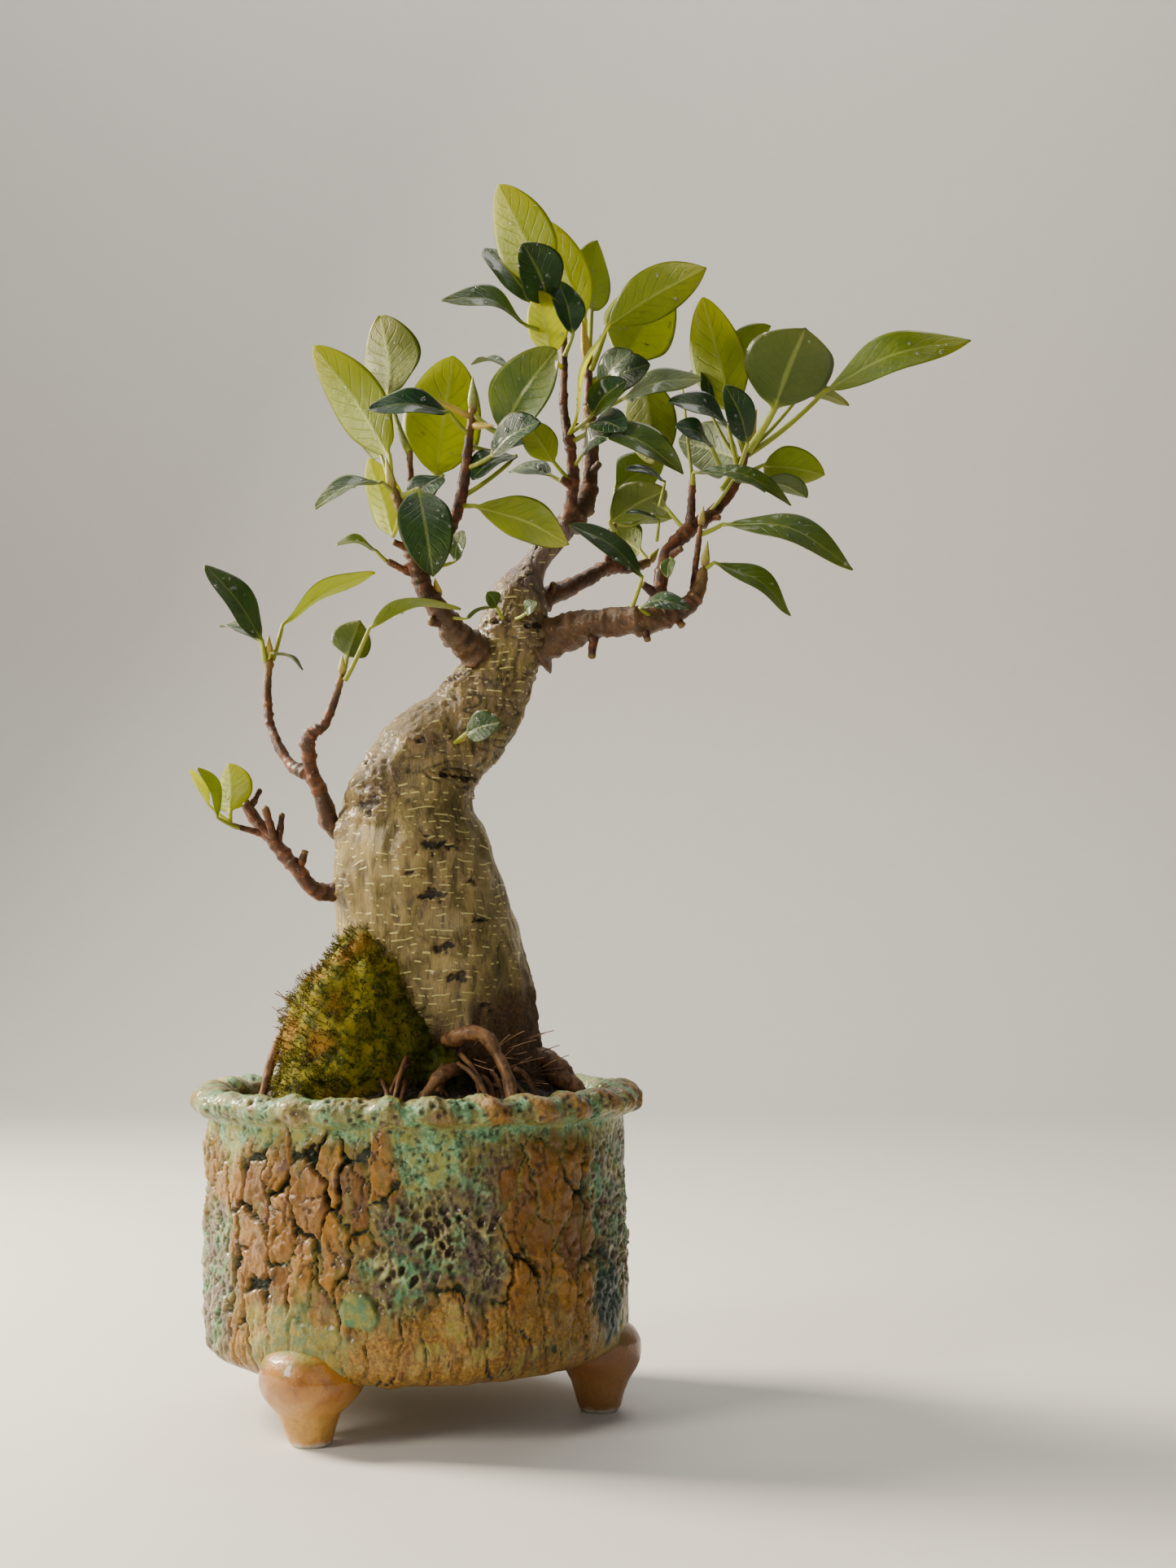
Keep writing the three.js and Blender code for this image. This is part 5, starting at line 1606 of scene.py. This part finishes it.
# water drops on the leaves
def dropShape():
    sides, tilts = 9, (-20, 15, 50, 78)
    points = []
    for tilt in tilts:
        turn = math.radians(tilt)
        for j in range(sides):
            around = 2 * math.pi * j / sides
            r = 0.42 * math.cos(turn)
            x, y = r * math.cos(around), r * math.sin(around)
            points.append(Vector((x, y, 0.30 * math.sin(turn))) * mm)
    piece = smallShape("drop", points, cappedFaces(len(tilts), sides))
    turnOutwards(piece)
    return piece


def waterMaterial():
    material, board = newMaterial("clear_water")
    ripple = board.noise(board.objectSpot(), 900, 2)
    outputShader(board, principled(board, {
        "Base Color": board.mix(ripple, (0.94, 0.98, 0.92), (1.0, 1.0, 1.0)),
        "Roughness": (ripple * 0.06).clamp(), "Transmission Weight": 0.9, "IOR": 1.33}))
    return material


dropPiece, waterSkin = dropShape(), waterMaterial()
drops = scatterOn("leaf_drops", leavesPiece, dropPiece, {
    "Density": 26000.0, "Smallest": 0.5, "Largest": 1.9, "Lean": 0.1, "Seed": 3}, waterSkin)
bpy.data.objects.remove(dropPiece)
finishPiece(drops, waterSkin)
print("water drops done")


# floor, light and camera
def buildFloor():
    rows = [(-1.6, 0.0), (1.1, 0.0)]
    for i in range(1, 13):
        turn = math.radians(90 * i / 12)
        rows.append((1.1 + 0.5 * math.sin(turn), 0.5 - 0.5 * math.cos(turn)))
    rows.append((1.6, 3.2))
    points = [Vector((x, y, z)) for y, z in rows for x in (-3.0, 3.0)]
    faces = [(2 * i, 2 * i + 1, 2 * i + 3, 2 * i + 2) for i in range(len(rows) - 1)]
    floor = meshObject("floor", points, faces)
    material, board = newMaterial("pale_floor")
    tone = board.noise(board.objectSpot(), 60, 4, 0.6)
    outputShader(board, principled(board, {
        "Base Color": board.mix(tone, (0.60, 0.585, 0.55), (0.63, 0.615, 0.58)),
        "Roughness": (tone * 0.1 + 0.6).clamp()}))
    floor.data.materials.append(material)


def addLight(name, spot, target, size, power, colour):
    lamp = bpy.data.lights.new(name, "AREA")
    lamp.shape = "RECTANGLE"
    lamp.size, lamp.size_y = size
    lamp.energy = power
    lamp.color = colour
    holder = bpy.data.objects.new(name, lamp)
    bpy.context.scene.collection.objects.link(holder)
    holder.location = spot
    holder.rotation_euler = (Vector(target) - Vector(spot)).to_track_quat("-Z", "Y").to_euler()


buildFloor()
addLight("window_left", (-0.82, 0.26, 0.66), (0.0, 0.0, 0.20), (0.32, 0.45), 42, (1.0, 0.88, 0.70))
addLight("window_front", (-0.80, -0.62, 0.55), (0.0, 0.0, 0.15), (0.3, 0.45), 9, (1.0, 0.92, 0.80))
addLight("wall_wash", (0.0, 0.9, 2.2), (0.0, 1.5, 0.4), (1.8, 0.6), 30, (1.0, 0.97, 0.92))
addLight("front_fill", (0.5, -1.5, 0.9), (0.0, 0.0, 0.2), (1.4, 1.0), 4, (0.94, 0.97, 1.0))
world = bpy.data.worlds.new("studio")
bpy.context.scene.world = world
world.use_nodes = True
world.node_tree.nodes["Background"].inputs["Color"].default_value = (0.86, 0.88, 0.92, 1)
world.node_tree.nodes["Background"].inputs["Strength"].default_value = 0.12

lens = bpy.data.cameras.new("camera")
lens.lens = 48.8
lens.sensor_fit = "VERTICAL"
lens.sensor_height = 36
camera = bpy.data.objects.new("camera", lens)
bpy.context.scene.collection.objects.link(camera)
camera.location = (axisX + 53.9 * mm, -0.679, 0.1472)
camera.rotation_euler = (math.radians(94.06), 0, 0)
bpy.context.scene.camera = camera
